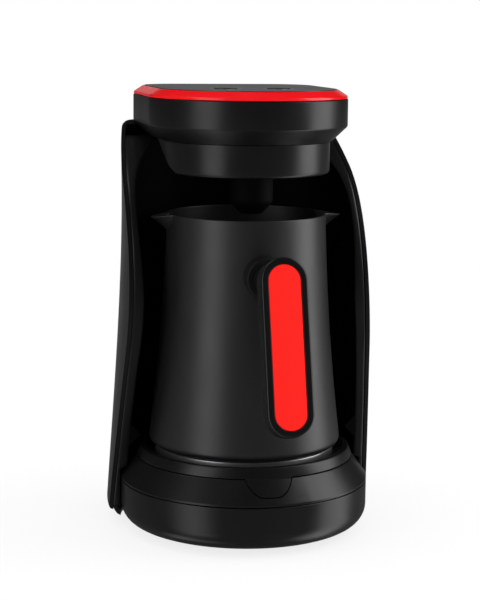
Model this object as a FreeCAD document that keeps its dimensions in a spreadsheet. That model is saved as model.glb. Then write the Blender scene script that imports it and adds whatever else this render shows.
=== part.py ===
import FreeCAD, Part
import math
import os

import Sketcher

# An electric Turkish coffee maker: a round heated base, a rear shell whose two side arms
# reach round the pot, a head above it, and a metal pot with a drop handle.
# Lengths are millimetres and angles degrees. Everything is laid out round the pot's
# vertical axis, +Z up with the feet on Z 0, the front at -Y and the back at +Y.
# The last step moves the whole machine so that its footprint is centred on the origin.

DIMENSIONS = [
    # base
    ("foot_height", 3.0, "rubber foot under the bowl"),
    ("foot_radius", 5.2, "rubber foot"),
    ("foot_reach", 50.0, "from the pot's axis to a foot"),
    ("foot_angle", 45.0, "of a foot from the front or back line"),
    ("base_radius", 75.5, "widest radius of the base"),
    ("base_wall", 2.5, "moulded wall of the base pieces"),
    ("bowl_height", 27.0, "from the bowl's underside to its seam"),
    ("bowl_corner", 12.0, "outer radius of the bowl's lower corner"),
    ("seam", 0.5, "open seam between two outer mouldings"),
    ("cone_height", 13.9, "sloping skirt above the bowl"),
    ("cone_land", 1.2, "upright edge at the skirt's foot"),
    ("cone_top_radius", 66.2, "skirt under the seat ring"),
    ("spigot_height", 4.0, "of the skirt's rim inside the bowl"),
    ("ring_height", 5.9, "seat ring"),
    ("ring_top_radius", 64.0, "seat ring's upper outer edge"),
    ("ring_land", 3.2, "flat top of the seat ring"),
    ("ring_floor", 2.3, "thickness of the ring's inner floor"),
    ("ring_slope", 3.3, "run of the slope from the ring's top to its floor"),
    ("tab_top_width", 31.0, "front tab where it leaves the ring"),
    ("tab_bottom_width", 18.5, "front tab at its lower end"),
    ("tab_drop", 9.3, "front tab below the ring"),
    ("tab_corner", 5.5, "rounded lower corners of the tab"),
    ("tab_thickness", 2.2, "front tab"),
    ("plate_radius", 54.4, "heater plate"),
    ("plate_thickness", 5.3, "heater plate"),
    ("plate_chamfer", 0.8, "heater plate's upper edge"),
    ("plate_stand", 0.9, "heater plate above the seat ring"),
    ("pan_wall", 2.2, "pan under the heater plate"),
    ("pan_depth", 8.6, "pan under the heater plate"),
    ("pan_radius", 60.0, "pan under the heater plate"),
    ("element_radius", 38.0, "centre line of the heating element"),
    ("element_half_width", 4.0, "heating element"),
    ("post_radius", 4.2, "post on the bowl's floor"),
    ("post_reach", 50.0, "from the pot's axis to a post"),
    ("post_count", 3, "posts on the bowl's floor"),
    ("screw_radius", 1.5, "shaft of a small screw"),
    ("screw_head_radius", 3.0, "head of a small screw"),
    ("screw_head_height", 1.8, "head of a small screw"),
    ("screw_length", 10.0, "shaft of a small screw"),
    ("screw_clearance", 0.08, "round a screw's shaft"),
    ("fit_gap", 0.3, "between pieces that seat on each other"),
    # sensing plunger in the heater plate
    ("plunger_radius", 6.0, "plunger that feels the pot's underside"),
    ("plunger_stroke", 1.5, "plunger's travel"),
    ("plunger_length", 18.0, "plunger"),
    ("guide_wall", 6.0, "plunger's guide"),
    ("guide_floor", 2.0, "plunger's guide"),
    ("spring_wire_radius", 0.5, "plunger's spring"),
    ("spring_radius", 4.2, "plunger's spring, to the wire's centre"),
    ("spring_turns", 4, "plunger's spring"),
    ("spring_height", 8.0, "plunger's spring"),
    # pot
    ("pot_height", 140.8, "pot from underside to rim"),
    ("pot_bottom_radius", 58.3, "pot above its lower corner"),
    ("pot_rim_radius", 47.8, "pot at the rim"),
    ("pot_corner", 5.0, "pot's lower corner"),
    ("pot_flare_radius", 1400.0, "hollow curve of the pot's side"),
    ("pot_wall", 1.3, "pot's side"),
    ("pot_floor", 3.0, "pot's bottom"),
    ("spout_reach", 58.8, "from the axis to a spout's tip"),
    ("spout_half_width", 10.5, "spout at the rim"),
    ("spout_depth", 9.5, "spout below the rim"),
    ("spout_root", 3.9, "spout's root inside the pot's rim"),
    ("spout_dip", 1.4, "spout's tip below the rim"),
    ("spout_tip_width", 2.6, "half width of the spout's rounded tip"),
    # handle
    ("boss_radius", 12.3, "boss on the pot's front"),
    ("boss_height", 108.4, "boss above the pot's underside"),
    ("boss_reach", 57.0, "from the axis to the boss's front"),
    ("stem_radius", 8.6, "stem between boss and grip"),
    ("stud_radius", 3.0, "stud in the stem"),
    ("stud_length", 20.0, "stud in the stem"),
    ("grip_length", 100.0, "grip"),
    ("grip_width", 26.5, "grip"),
    ("grip_back", 9.0, "depth of the grip's rear half"),
    ("grip_front", 4.6, "depth of the grip's front half"),
    ("grip_tilt", 15.0, "grip's lower end outwards"),
    ("grip_reach", 92.5, "from the axis to the grip's rear face at its middle"),
    ("grip_height", 74.4, "grip's middle above the pot's underside"),
    ("grip_rounding", 3.5, "grip's rear edge"),
    ("inlay_margin", 3.9, "grip's rim round the inlay"),
    ("inlay_depth", 2.0, "grip's inlay"),
    ("upper_screw_height", 15.0, "upper handle screw above the grip's middle"),
    ("lower_screw_drop", 30.0, "lower handle screw below the grip's middle"),
    # rear shell and its two arms
    ("shell_foot_height", 9.0, "lower edge of the rear shell"),
    ("shell_foot_stand", 7.1, "rear shell's foot outside the bowl's side"),
    ("shell_floor_stand", 3.5, "rear shell's floor above the table"),
    ("shell_floor_rounding", 8.0, "outer corner of that floor"),
    ("shell_low_half_width", 77.3, "rear shell at the low section"),
    ("shell_low_height", 88.0, "low section of the rear shell"),
    ("shell_waist_half_width", 73.7, "rear shell at its waist"),
    ("shell_waist_height", 160.0, "waist of the rear shell"),
    ("shell_top_half_width", 73.8, "rear shell at its top"),
    ("shoulder_rounding", 4.0, "rear shell's upper edge"),
    ("shell_depth", 86.0, "from the pot's axis to the flat back"),
    ("shell_side_radius", 240.0, "side of the shell in plan"),
    ("shell_corner", 32.0, "rear corner of the shell in plan"),
    ("shell_wall", 2.4, "rear shell"),
    ("back_panel_half_width", 40.0, "flat rear panel"),
    ("arm_foot_back", 11.5, "arm's front edge behind the axis, at its foot"),
    ("arm_nose_forward", 29.3, "corner of the arm's front edge before the axis"),
    ("arm_nose_height", 178.7, "corner of the arm's front edge"),
    ("arm_top_back", 55.0, "arm's front edge behind the axis, at its top"),
    ("arm_top_height", 240.0, "top of the arm's front edge"),
    ("arm_nose_radius", 105.0, "rounding of that corner"),
    ("lip_width", 5.6, "front lip of the bay liner"),
    ("lip_depth", 3.0, "front lip of the bay liner"),
    ("liner_wall", 2.2, "bay liner"),
    ("liner_radius", 66.4, "bay liner inside, above its taper"),
    ("liner_taper_top", 142.0, "top of the liner's taper"),
    ("liner_foot_radius", 71.9, "bay liner inside, at its foot"),
    ("liner_foot_land", 14.0, "height of the liner below its ledge"),
    ("ledge_reach", 6.4, "ledge round the foot of the bay"),
    ("ledge_half_height", 7.2, "ledge round the foot of the bay"),
    # head
    ("neck_radius", 49.6, "chin under the head"),
    ("neck_height", 19.1, "chin under the head"),
    ("neck_wall", 2.5, "chin"),
    ("neck_rounding", 2.4, "chin's lower edge"),
    ("neck_flat_back", 16.0, "flat underside ends this far before the axis"),
    ("neck_slope", 22.0, "underside behind it rises at this angle"),
    ("rim_to_neck", 24.2, "from the pot's rim to the chin"),
    ("head_flare", 9.4, "flare between chin and band"),
    ("head_flare_height", 9.0, "flare between chin and band"),
    ("head_half_width", 60.0, "head's band"),
    ("head_depth", 82.5, "from the pot's axis to the head's back"),
    ("head_corner", 30.0, "head's rear corners"),
    ("band_height", 16.2, "head's band"),
    ("head_wall", 2.5, "head"),
    ("accent_height", 5.0, "coloured ring"),
    ("accent_slope", 5.8, "coloured ring's slope in plan"),
    ("accent_land", 0.8, "coloured ring's flat top"),
    ("accent_flange", 5.4, "coloured ring's flange under the lid plate"),
    ("lid_thickness", 2.4, "lid plate"),
    ("key_radius", 7.0, "push key"),
    ("key_spacing", 32.0, "between the two keys"),
    ("key_forward", 12.0, "keys before the axis"),
    ("key_stroke", 1.2, "key's travel"),
    ("key_stand", 0.5, "key above the lid plate"),
    ("key_softening", 0.5, "key's upper edge"),
    ("key_flange", 1.2, "key's hidden flange"),
    ("key_flange_height", 1.4, "key's hidden flange"),
    ("key_stem_radius", 3.0, "key's stem"),
    ("switch_size", 6.0, "tact switch"),
    ("switch_height", 3.0, "tact switch"),
    ("board_thickness", 1.6, "circuit boards"),
    ("control_board_width", 74.0, "control board"),
    ("control_board_depth", 46.0, "control board"),
    ("control_board_drop", 8.7, "control board's top under the lid plate"),
    ("board_post_radius", 3.0, "posts under the control board"),
    ("lens_radius", 1.6, "indicator lens"),
    ("lens_forward", 26.0, "indicator lenses before the axis"),
    ("buzzer_radius", 6.0, "buzzer"),
    ("buzzer_height", 6.0, "buzzer"),
    # boil sensor
    ("sensor_radius", 13.0, "sensor's nose under the chin"),
    ("sensor_forward", 12.0, "sensor before the axis"),
    ("sensor_clearance", 1.0, "sensor above the pot's rim"),
    ("sensor_dome", 6.5, "sensor's rounded end"),
    ("sensor_dome_radius", 7.8, "curve of the sensor's rounded end"),
    ("sensor_bezel", 0.6, "flat edge round the sensor's lens"),
    ("sensor_lens_radius", 5.6, "sensor's lens"),
    ("sensor_lens_thickness", 1.6, "sensor's lens"),
    # rear column
    ("power_board_width", 56.0, "power board"),
    ("power_board_height", 74.0, "power board"),
    ("power_board_bottom", 92.0, "power board above the table"),
    ("power_board_stand", 5.0, "power board before the rear panel"),
    ("relay_width", 22.0, "relay"),
    ("relay_depth", 6.0, "relay"),
    ("relay_height", 16.0, "relay"),
    ("gland_radius", 8.5, "cord gland's flange"),
    ("gland_neck_radius", 5.8, "cord gland's neck"),
    ("gland_bore", 3.2, "cord gland's bore"),
    ("gland_flange", 2.0, "cord gland's flange"),
    ("gland_softening", 0.5, "cord gland's outer edge"),
    ("gland_height", 32.0, "cord gland above the table"),
]

WHOLE_TURN = 360.0
BEYOND = 120.0  # half size of the blocks that only cut
HALF = 0.5
TINY_STEP = 0.3  # cutters run this far past the faces they open
SHOULDER_STEPS = 4  # flats that round the rear shell's upper edge and its floor
STEPS_IN_TURN = 16  # straight lengths in one turn of the spring
WIRE_SIDES = 8  # flats round the spring's wire

doc = FreeCAD.newDocument("coffee_maker")
sheet = doc.addObject("Spreadsheet::Sheet", "Sizes")
for row, (alias, value, note) in enumerate(DIMENSIONS, start=1):
    sheet.set("A%d" % row, alias)
    sheet.set("B%d" % row, str(value))
    sheet.set("C%d" % row, note)
    sheet.setAlias("B%d" % row, alias)
doc.recompute()

nodes = []


# Sizes that carry their sheet formula
class Size:
    """A length and the sheet formula that gives it."""

    def __init__(self, value, text):
        self.value = float(value)
        self.text = text

    def __add__(self, other):
        return Size(self.value + other.value, "(%s + %s)" % (self.text, other.text))

    def __sub__(self, other):
        return Size(self.value - other.value, "(%s - %s)" % (self.text, other.text))

    def __mul__(self, factor):
        return Size(self.value * factor, "(%s * %s)" % (self.text, factor))

    def __neg__(self):
        return Size(-self.value, "(-%s)" % self.text)


class SheetSizes:
    """Gives each cell of the sheet by its alias."""

    def __getattr__(self, alias):
        return Size(sheet.get(alias), "Sizes." + alias)


dim = SheetSizes()
ZERO = Size(0.0, "0")

# Levels above the table, from the bottom up
bowl_bottom = dim.foot_height
bowl_top = bowl_bottom + dim.bowl_height
cone_bottom = bowl_top + dim.seam
cone_top = cone_bottom + dim.cone_height
ring_bottom = cone_top + dim.seam
ring_top = ring_bottom + dim.ring_height
plate_top = ring_top + dim.plate_stand
plate_bottom = plate_top - dim.plate_thickness
pan_top = ring_bottom - dim.fit_gap
pan_bottom = pan_top - dim.pan_depth
pot_bottom = plate_top + dim.fit_gap
pot_rim = pot_bottom + dim.pot_height
neck_bottom = pot_rim + dim.rim_to_neck
neck_top = neck_bottom + dim.neck_height
head_bottom = neck_top + dim.fit_gap
band_bottom = head_bottom + dim.head_flare_height
band_top = band_bottom + dim.band_height
accent_bottom = band_top + dim.fit_gap
accent_top = accent_bottom + dim.accent_height
lid_top = accent_top + dim.fit_gap
lid_bottom = lid_top - dim.lid_thickness
shell_top = band_bottom - dim.fit_gap
shell_foot_half_width = dim.base_radius + dim.shell_foot_stand
shell_floor_top = dim.shell_floor_stand + dim.shell_floor_rounding
control_board_top = lid_bottom - dim.control_board_drop
control_board_bottom = control_board_top - dim.board_thickness
guide_top = pan_bottom - dim.fit_gap
boss_level = pot_bottom + dim.boss_height
grip_level = pot_bottom + dim.grip_height


# Sketches and simple solids
def at(x, y, z=ZERO):
    return FreeCAD.Vector(x.value, y.value, z.value)


def origin_plane(body, role):
    for feature in body.Origin.OriginFeatures:
        if feature.Role == role:
            return feature
    raise ValueError(role)


def new_sketch(body, role, offset=ZERO):
    """A sketch on one of the body's own origin planes, lifted along its normal."""
    sketch = body.newObject("Sketcher::SketchObject", body.Name + "_sketch")
    sketch.AttachmentSupport = (origin_plane(body, role), [""])
    sketch.MapMode = "FlatFace"
    sketch.AttachmentOffset = FreeCAD.Placement(FreeCAD.Vector(0, 0, offset.value), FreeCAD.Rotation())
    sketch.setExpression("AttachmentOffset.Base.z", offset.text)
    return sketch


def bind(sketch, constraint, formula):
    index = sketch.addConstraint(constraint)
    sketch.setExpression("Constraints[%d]" % index, formula)


def place_vertex(sketch, geometry, end, across, up):
    """Fixes one end of a sketch edge at two distances from the sketch's origin."""
    for kind, axis, size in (("DistanceX", -2, across), ("DistanceY", -1, up)):
        if size.value == 0:
            sketch.addConstraint(Sketcher.Constraint("PointOnObject", geometry, end, axis))
        elif size.value > 0:
            bind(sketch, Sketcher.Constraint(kind, -1, 1, geometry, end, size.value), size.text)
        else:
            flipped = -size
            bind(sketch, Sketcher.Constraint(kind, geometry, end, -1, 1, flipped.value), flipped.text)


def arc_between(start, finish, radius, left):
    """The short arc from start to finish that turns left or right."""
    middle = (start + finish) * HALF
    along = finish - start
    rise = math.sqrt(max(radius ** 2 - (along.Length * HALF) ** 2, 0.0))
    aside = FreeCAD.Vector(-along.y, along.x, 0).normalize()
    centre = middle + aside * (rise if left else -rise)
    first, last = (start, finish) if left else (finish, start)
    begin = math.atan2(first.y - centre.y, first.x - centre.x)
    end = math.atan2(last.y - centre.y, last.x - centre.x)
    if end < begin:
        end += 2 * math.pi
    circle = Part.Circle(centre, FreeCAD.Vector(0, 0, 1), radius)
    return Part.ArcOfCircle(circle, begin, end)


def draw_outline(sketch, path):
    """Draws a closed path. A corner is (across, up), or (across, up, radius, "left" or "right")
    where an arc leads to it from the corner before."""
    ends = []
    for index, corner in enumerate(path):
        before = at(*path[index - 1][:2])
        here = at(*corner[:2])
        if len(corner) == 2:
            edge = sketch.addGeometry(Part.LineSegment(before, here))
            ends.append((edge, 1, 2))
            continue
        radius, side = corner[2:]
        left = side == "left"
        edge = sketch.addGeometry(arc_between(before, here, radius.value, left))
        ends.append((edge, 1, 2) if left else (edge, 2, 1))
        bind(sketch, Sketcher.Constraint("Radius", edge, radius.value), radius.text)
    for index, corner in enumerate(path):
        edge, _, finish = ends[index]
        after, start, _ = ends[(index + 1) % len(path)]
        sketch.addConstraint(Sketcher.Constraint("Coincident", edge, finish, after, start))
        place_vertex(sketch, edge, finish, corner[0], corner[1])


def new_body(label):
    body = doc.addObject("PartDesign::Body", label)
    body.Label = label
    return body


def turned(label, path):
    """A body of revolution about Z. The path gives radius and height."""
    body = new_body(label)
    sketch = new_sketch(body, "XZ_Plane")
    draw_outline(sketch, path)
    turn = body.newObject("PartDesign::Revolution", label + "_turn")
    turn.Profile = sketch
    turn.ReferenceAxis = (sketch, ["V_Axis"])
    turn.Angle = WHOLE_TURN
    return body


def slab(label, path, thickness, offset=ZERO, role="XY_Plane"):
    """A plate of even thickness from a closed path."""
    body = new_body(label)
    sketch = new_sketch(body, role, offset)
    draw_outline(sketch, path)
    pad = body.newObject("PartDesign::Pad", label + "_pad")
    pad.Profile = sketch
    pad.Length = thickness.value
    pad.setExpression("Length", thickness.text)
    return body


def oblong(width, depth):
    """Rectangle centred on the sketch's origin."""
    right = width * HALF
    top = depth * HALF
    return [(right, -top), (right, top), (-right, top), (-right, -top)]


def stadium(width, length):
    """Rectangle with half round ends, each drawn as two quarter arcs."""
    radius = width * HALF
    tip = length * HALF
    shoulder = tip - radius
    return [
        (radius, -shoulder, radius, "left"),
        (radius, shoulder),
        (ZERO, tip, radius, "left"),
        (-radius, shoulder, radius, "left"),
        (-radius, -shoulder),
        (ZERO, -tip, radius, "left"),
    ]


def rounded_wedge(top_width, bottom_width, top, bottom, corner):
    """A tab with two rounded lower corners."""
    high = top_width * HALF
    low = bottom_width * HALF
    return [
        (high, top),
        (-high, top),
        (-low, bottom + corner),
        (corner - low, bottom, corner, "left"),
        (low - corner, bottom),
        (low, bottom + corner, corner, "left"),
    ]


def cylinder(label, radius, height, bottom=ZERO):
    """An upright round bar."""
    bar = doc.addObject("Part::Cylinder", label)
    bar.setExpression("Radius", radius.text)
    bar.setExpression("Height", height.text)
    bar.setExpression("Placement.Base.z", bottom.text)
    return bar


def box(label, width, depth, height, left, front, bottom):
    block = doc.addObject("Part::Box", label)
    block.setExpression("Length", width.text)
    block.setExpression("Width", depth.text)
    block.setExpression("Height", height.text)
    block.setExpression("Placement.Base.x", left.text)
    block.setExpression("Placement.Base.y", front.text)
    block.setExpression("Placement.Base.z", bottom.text)
    return block


def cut(label, base, tool):
    result = doc.addObject("Part::Cut", label)
    result.Base = base
    result.Tool = tool
    return result


def fuse(label, pieces):
    result = doc.addObject("Part::MultiFuse", label)
    result.Shapes = pieces
    return result


def common(label, first, second):
    result = doc.addObject("Part::Common", label)
    result.Base = first
    result.Tool = second
    return result


def coded(label, shape):
    """A piece whose shape is worked out here from the sheet's sizes."""
    piece = doc.addObject("Part::Feature", label)
    piece.Shape = shape
    return piece


def keep(piece, label):
    """Marks a finished sub-part."""
    piece.Label = label
    nodes.append(piece)
    return piece


def spots_round(count, reach, first_angle):
    """Evenly spaced points on a circle about the axis."""
    spots = []
    for index in range(count):
        angle = math.radians(first_angle + index * WHOLE_TURN / count)
        spots.append(FreeCAD.Vector(reach * math.sin(angle), -reach * math.cos(angle), 0))
    return spots


def copies(shape, spots):
    """One solid repeated at each spot."""
    solids = []
    for spot in spots:
        solid = shape.copy()
        solid.translate(spot)
        solids.append(solid)
    return Part.makeCompound(solids)


# Plans of the head and of the rear shell
def head_plan(inset, level):
    """Half round front, straight sides and rounded rear corners."""
    half = dim.head_half_width.value - inset
    back = dim.head_depth.value - inset
    corner = dim.head_corner.value - inset
    quarter = corner * (1 - math.sqrt(HALF))
    left, right = -half, half
    front = FreeCAD.Vector(0, -half, level)
    right_side = FreeCAD.Vector(right, 0, level)
    right_corner = FreeCAD.Vector(right, back - corner, level)
    right_turn = FreeCAD.Vector(right - quarter, back - quarter, level)
    right_back = FreeCAD.Vector(right - corner, back, level)
    left_back = FreeCAD.Vector(left + corner, back, level)
    left_turn = FreeCAD.Vector(left + quarter, back - quarter, level)
    left_corner = FreeCAD.Vector(left, back - corner, level)
    left_side = FreeCAD.Vector(left, 0, level)
    return Part.Wire([
        Part.Arc(left_side, front, right_side).toShape(),
        Part.LineSegment(right_side, right_corner).toShape(),
        Part.Arc(right_corner, right_turn, right_back).toShape(),
        Part.LineSegment(right_back, left_back).toShape(),
        Part.Arc(left_back, left_turn, left_corner).toShape(),
        Part.LineSegment(left_corner, left_side).toShape(),
    ])


def head_block(sections):
    """Solid through head plans, each an inset and a level."""
    wires = [head_plan(inset.value, level.value) for inset, level in sections]
    return Part.makeLoft(wires, True, True)


def shell_plan(half_width, back, inset, level):
    """Gently bowed sides, rounded rear corners and a flat back, closed by a line in front."""
    side = dim.shell_side_radius.value - inset
    corner = dim.shell_corner.value - inset
    back = back - inset
    side_centre = half_width - inset - side
    across = math.sqrt((side - corner) ** 2 - (back - corner) ** 2)
    corner_centre = side_centre + across
    lean = math.atan2(back - corner, across)
    front = -(dim.arm_nose_forward.value + dim.shell_wall.value)

    def on_side(angle, mirror):
        x = side_centre + side * math.cos(angle)
        return FreeCAD.Vector(mirror * x, side * math.sin(angle), level)

    def on_corner(angle, mirror):
        x = corner_centre + corner * math.cos(angle)
        return FreeCAD.Vector(mirror * x, back - corner + corner * math.sin(angle), level)

    begin = math.asin(front / side)
    turn = (lean + math.pi / 2) / 2
    edges = []
    edges.append(Part.Arc(on_side(begin, 1), on_side((begin + lean) / 2, 1), on_side(lean, 1)))
    edges.append(Part.Arc(on_side(lean, 1), on_corner(turn, 1), on_corner(math.pi / 2, 1)))
    edges.append(Part.LineSegment(on_corner(math.pi / 2, 1), on_corner(math.pi / 2, -1)))
    edges.append(Part.Arc(on_corner(math.pi / 2, -1), on_corner(turn, -1), on_side(lean, -1)))
    edges.append(Part.Arc(on_side(lean, -1), on_side((begin + lean) / 2, -1), on_side(begin, -1)))
    edges.append(Part.LineSegment(on_side(begin, -1), on_side(begin, 1)))
    return Part.Wire([edge.toShape() for edge in edges])


def shell_block(inset):
    """The rear shell's outer form, or its inside where inset is a wall."""
    back = dim.shell_depth.value
    top = shell_top.value - inset
    rounding = 0.0 if inset else dim.shoulder_rounding.value
    top_half = dim.shell_top_half_width.value
    levels = [
        (dim.shell_foot_height.value, shell_foot_half_width.value),
        (dim.shell_low_height.value, dim.shell_low_half_width.value),
        (dim.shell_waist_height.value, dim.shell_waist_half_width.value),
        (top - rounding, top_half),
    ]
    walls = Part.makeLoft([shell_plan(half, back, inset, level) for level, half in levels], True, False)
    if inset:
        return walls
    shoulder_wires = []
    for step in range(SHOULDER_STEPS + 1):
        angle = math.pi / 2 * step / SHOULDER_STEPS
        narrowing = rounding * (1 - math.cos(angle))
        level = top - rounding * (1 - math.sin(angle))
        shoulder_wires.append(shell_plan(top_half, back, narrowing, level))
    return walls.fuse(Part.makeLoft(shoulder_wires, True, True))


def behind_arm_edge(shift):
    """Everything behind the arms' front edge, moved back by shift."""
    foot = FreeCAD.Vector(0, dim.arm_foot_back.value + shift, dim.shell_foot_height.value)
    nose = FreeCAD.Vector(0, shift - dim.arm_nose_forward.value, dim.arm_nose_height.value)
    top = FreeCAD.Vector(0, dim.arm_top_back.value + shift, dim.arm_top_height.value)
    down = (foot - nose).normalize()
    up = (top - nose).normalize()
    half_turn = (math.pi - down.getAngle(up)) / 2
    radius = dim.arm_nose_radius.value
    run = radius * math.tan(half_turn)
    inward = (down + up).normalize()
    centre = nose + inward * (radius / math.cos(half_turn))
    low_touch = nose + down * run
    high_touch = nose + up * run
    middle = centre - inward * radius
    low_end = low_touch + down * BEYOND * 2
    high_end = high_touch + up * BEYOND * 2
    far = BEYOND * 4
    wire = Part.Wire([
        Part.LineSegment(low_end, low_touch).toShape(),
        Part.Arc(low_touch, middle, high_touch).toShape(),
        Part.LineSegment(high_touch, high_end).toShape(),
        Part.LineSegment(high_end, FreeCAD.Vector(0, far, high_end.z)).toShape(),
        Part.LineSegment(FreeCAD.Vector(0, far, high_end.z), FreeCAD.Vector(0, far, low_end.z)).toShape(),
        Part.LineSegment(FreeCAD.Vector(0, far, low_end.z), low_end).toShape(),
    ])
    block = Part.Face(wire).extrude(FreeCAD.Vector(2 * BEYOND, 0, 0))
    block.translate(FreeCAD.Vector(-BEYOND, 0, 0))
    return block


# Screws
def screw_shape():
    """A pan head screw, head down, its head's underside on the origin."""
    head = Part.makeCylinder(dim.screw_head_radius.value, dim.screw_head_height.value)
    shaft = Part.makeCylinder(dim.screw_radius.value, dim.screw_length.value)
    shaft.translate(FreeCAD.Vector(0, 0, dim.screw_head_height.value))
    return head.fuse(shaft)


def screw_hole(label, bottom, depth):
    """A screw's stepped hole, open at its lower end."""
    wide = dim.screw_head_radius + dim.fit_gap
    narrow = dim.screw_radius + dim.screw_clearance
    step = bottom + dim.screw_head_height
    start = bottom - dim.fit_gap
    return turned(label, [
        (ZERO, start),
        (wide, start),
        (wide, step),
        (narrow, step),
        (narrow, bottom + depth),
        (ZERO, bottom + depth),
    ])


# Base
def post_spots():
    return spots_round(int(dim.post_count.value), dim.post_reach.value, WHOLE_TURN / 2 / dim.post_count.value)


def foot_spots():
    angles = (dim.foot_angle.value, WHOLE_TURN / 2 - dim.foot_angle.value)
    reach = dim.foot_reach.value
    spots = []
    for angle in angles:
        for side in (-1, 1):
            turn = math.radians(side * angle)
            spots.append(FreeCAD.Vector(reach * math.sin(turn), -reach * math.cos(turn), 0))
    return spots


def build_bowl():
    wall = dim.base_wall
    corner = dim.bowl_corner
    inner_corner = corner - wall
    outer = dim.base_radius
    inner = outer - wall
    cup = turned("bowl_cup", [
        (ZERO, bowl_bottom),
        (outer - corner, bowl_bottom),
        (outer, bowl_bottom + corner, corner, "left"),
        (outer, bowl_top),
        (inner, bowl_top),
        (inner, bowl_bottom + corner),
        (outer - corner, bowl_bottom + wall, inner_corner, "right"),
        (ZERO, bowl_bottom + wall),
    ])
    post_height = guide_top - bowl_bottom - wall
    post = cylinder("bowl_post", dim.post_radius, post_height, bowl_bottom + wall)
    hole_depth = dim.screw_head_height + dim.screw_length + dim.fit_gap
    hole = screw_hole("bowl_screw_hole", bowl_bottom, hole_depth)
    doc.recompute()
    posts = coded("bowl_posts", copies(post.Shape, post_spots()))
    holes = coded("bowl_screw_holes", copies(hole.Shape, post_spots()))
    keep(cut("bowl", fuse("bowl_with_posts", [cup, posts]), holes), "base_bowl")


def build_base_screws():
    screw = screw_shape()
    screw.translate(at(ZERO, ZERO, bowl_bottom))
    keep(coded("base_screw_set", copies(screw, post_spots())), "base_screws")


def build_feet():
    foot = turned("foot", [
        (ZERO, ZERO),
        (dim.foot_radius, ZERO),
        (dim.foot_radius, bowl_bottom),
        (ZERO, bowl_bottom),
    ])
    doc.recompute()
    keep(coded("foot_set", copies(foot.Shape, foot_spots())), "rubber_feet")


def tab_prism(label, clearance):
    """The front tab's outline run through the skirt."""
    top = ring_bottom + dim.ring_height * HALF
    bottom = ring_bottom - dim.tab_drop - clearance
    width = clearance * 2
    path = rounded_wedge(dim.tab_top_width + width, dim.tab_bottom_width + width, top, bottom, dim.tab_corner)
    return slab(label, path, dim.base_radius, ZERO, "XZ_Plane")


def build_cone():
    outer = dim.base_radius
    spigot = outer - dim.base_wall - dim.fit_gap
    spigot_inner = spigot - dim.base_wall
    skirt = turned("skirt", [
        (outer, cone_bottom),
        (outer, cone_bottom + dim.cone_land),
        (dim.cone_top_radius, cone_top),
        (dim.cone_top_radius - dim.base_wall - dim.fit_gap, cone_top),
        (spigot_inner, cone_bottom + dim.cone_land),
        (spigot_inner, bowl_top - dim.spigot_height),
        (spigot, bowl_top - dim.spigot_height),
        (spigot, cone_bottom),
    ])
    keep(cut("skirt_with_notch", skirt, tab_prism("tab_notch", dim.seam)), "base_cone")


def skirt_radius_at(level):
    """Radius of the skirt's slope at a level."""
    run = dim.base_radius - dim.cone_top_radius
    rise = dim.cone_height - dim.cone_land
    share = (level.value - cone_bottom.value - dim.cone_land.value) / rise.value
    value = dim.base_radius.value - run.value * share
    text = "(Sizes.base_radius - %s * (%s - %s - Sizes.cone_land) / %s)" % (
        run.text, level.text, cone_bottom.text, rise.text)
    return Size(value, text)


def build_seat_ring():
    inner = dim.plate_radius + dim.fit_gap
    floor = ring_bottom + dim.ring_floor
    lip_inner = dim.ring_top_radius - dim.ring_land
    ring = turned("ring_only", [
        (dim.cone_top_radius, ring_bottom),
        (dim.ring_top_radius, ring_top),
        (lip_inner, ring_top),
        (lip_inner - dim.ring_slope, floor),
        (inner, floor),
        (inner, ring_bottom),
    ])
    tab_end = ring_bottom - dim.tab_drop
    tab_foot = skirt_radius_at(tab_end)
    strip = turned("tab_strip", [
        (tab_foot, tab_end),
        (dim.cone_top_radius, ring_bottom + dim.fit_gap),
        (dim.cone_top_radius - dim.tab_thickness, ring_bottom + dim.fit_gap),
        (tab_foot - dim.tab_thickness, tab_end),
    ])
    tab = common("tab", strip, tab_prism("tab_outline", ZERO))
    keep(fuse("ring_with_tab", [ring, tab]), "seat_ring")


def build_heater():
    hole = dim.plunger_radius + dim.fit_gap
    edge = dim.plate_chamfer
    plate = turned("plate", [
        (hole, plate_bottom),
        (dim.plate_radius, plate_bottom),
        (dim.plate_radius, plate_top - edge),
        (dim.plate_radius - edge, plate_top),
        (hole, plate_top),
    ])
    keep(plate, "heater_plate")
    inner = dim.element_radius - dim.element_half_width
    outer = dim.element_radius + dim.element_half_width
    floor = pan_bottom + dim.pan_wall
    element = turned("element", [
        (inner, floor + dim.fit_gap),
        (outer, floor + dim.fit_gap),
        (outer, plate_bottom - dim.fit_gap),
        (inner, plate_bottom - dim.fit_gap),
    ])
    keep(element, "heating_element")
    pan_hole = hole + dim.fit_gap
    pan = turned("pan", [
        (pan_hole, pan_bottom),
        (dim.pan_radius, pan_bottom),
        (dim.pan_radius, pan_top),
        (dim.pan_radius - dim.pan_wall, pan_top),
        (dim.pan_radius - dim.pan_wall, floor),
        (pan_hole, floor),
    ])
    keep(pan, "heater_pan")


def build_plunger():
    radius = dim.plunger_radius
    tip = plate_top
    foot = tip - dim.plunger_length
    rod = turned("plunger_rod", [
        (ZERO, foot),
        (radius, foot),
        (radius, tip - dim.plate_chamfer),
        (radius - dim.plate_chamfer, tip),
        (ZERO, tip),
    ])
    keep(rod, "sensing_plunger")
    bore = radius + dim.screw_clearance
    outer = bore + dim.guide_wall
    floor = foot - dim.spring_height
    guide = turned("guide", [
        (ZERO, floor - dim.guide_floor),
        (outer, floor - dim.guide_floor),
        (outer, guide_top),
        (bore, guide_top),
        (bore, floor),
        (ZERO, floor),
    ])
    keep(guide, "plunger_guide")
    spring = coil_shape()
    spring.translate(at(ZERO, ZERO, floor + dim.spring_wire_radius + dim.fit_gap))
    keep(coded("plunger_coil", spring), "plunger_spring")


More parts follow.
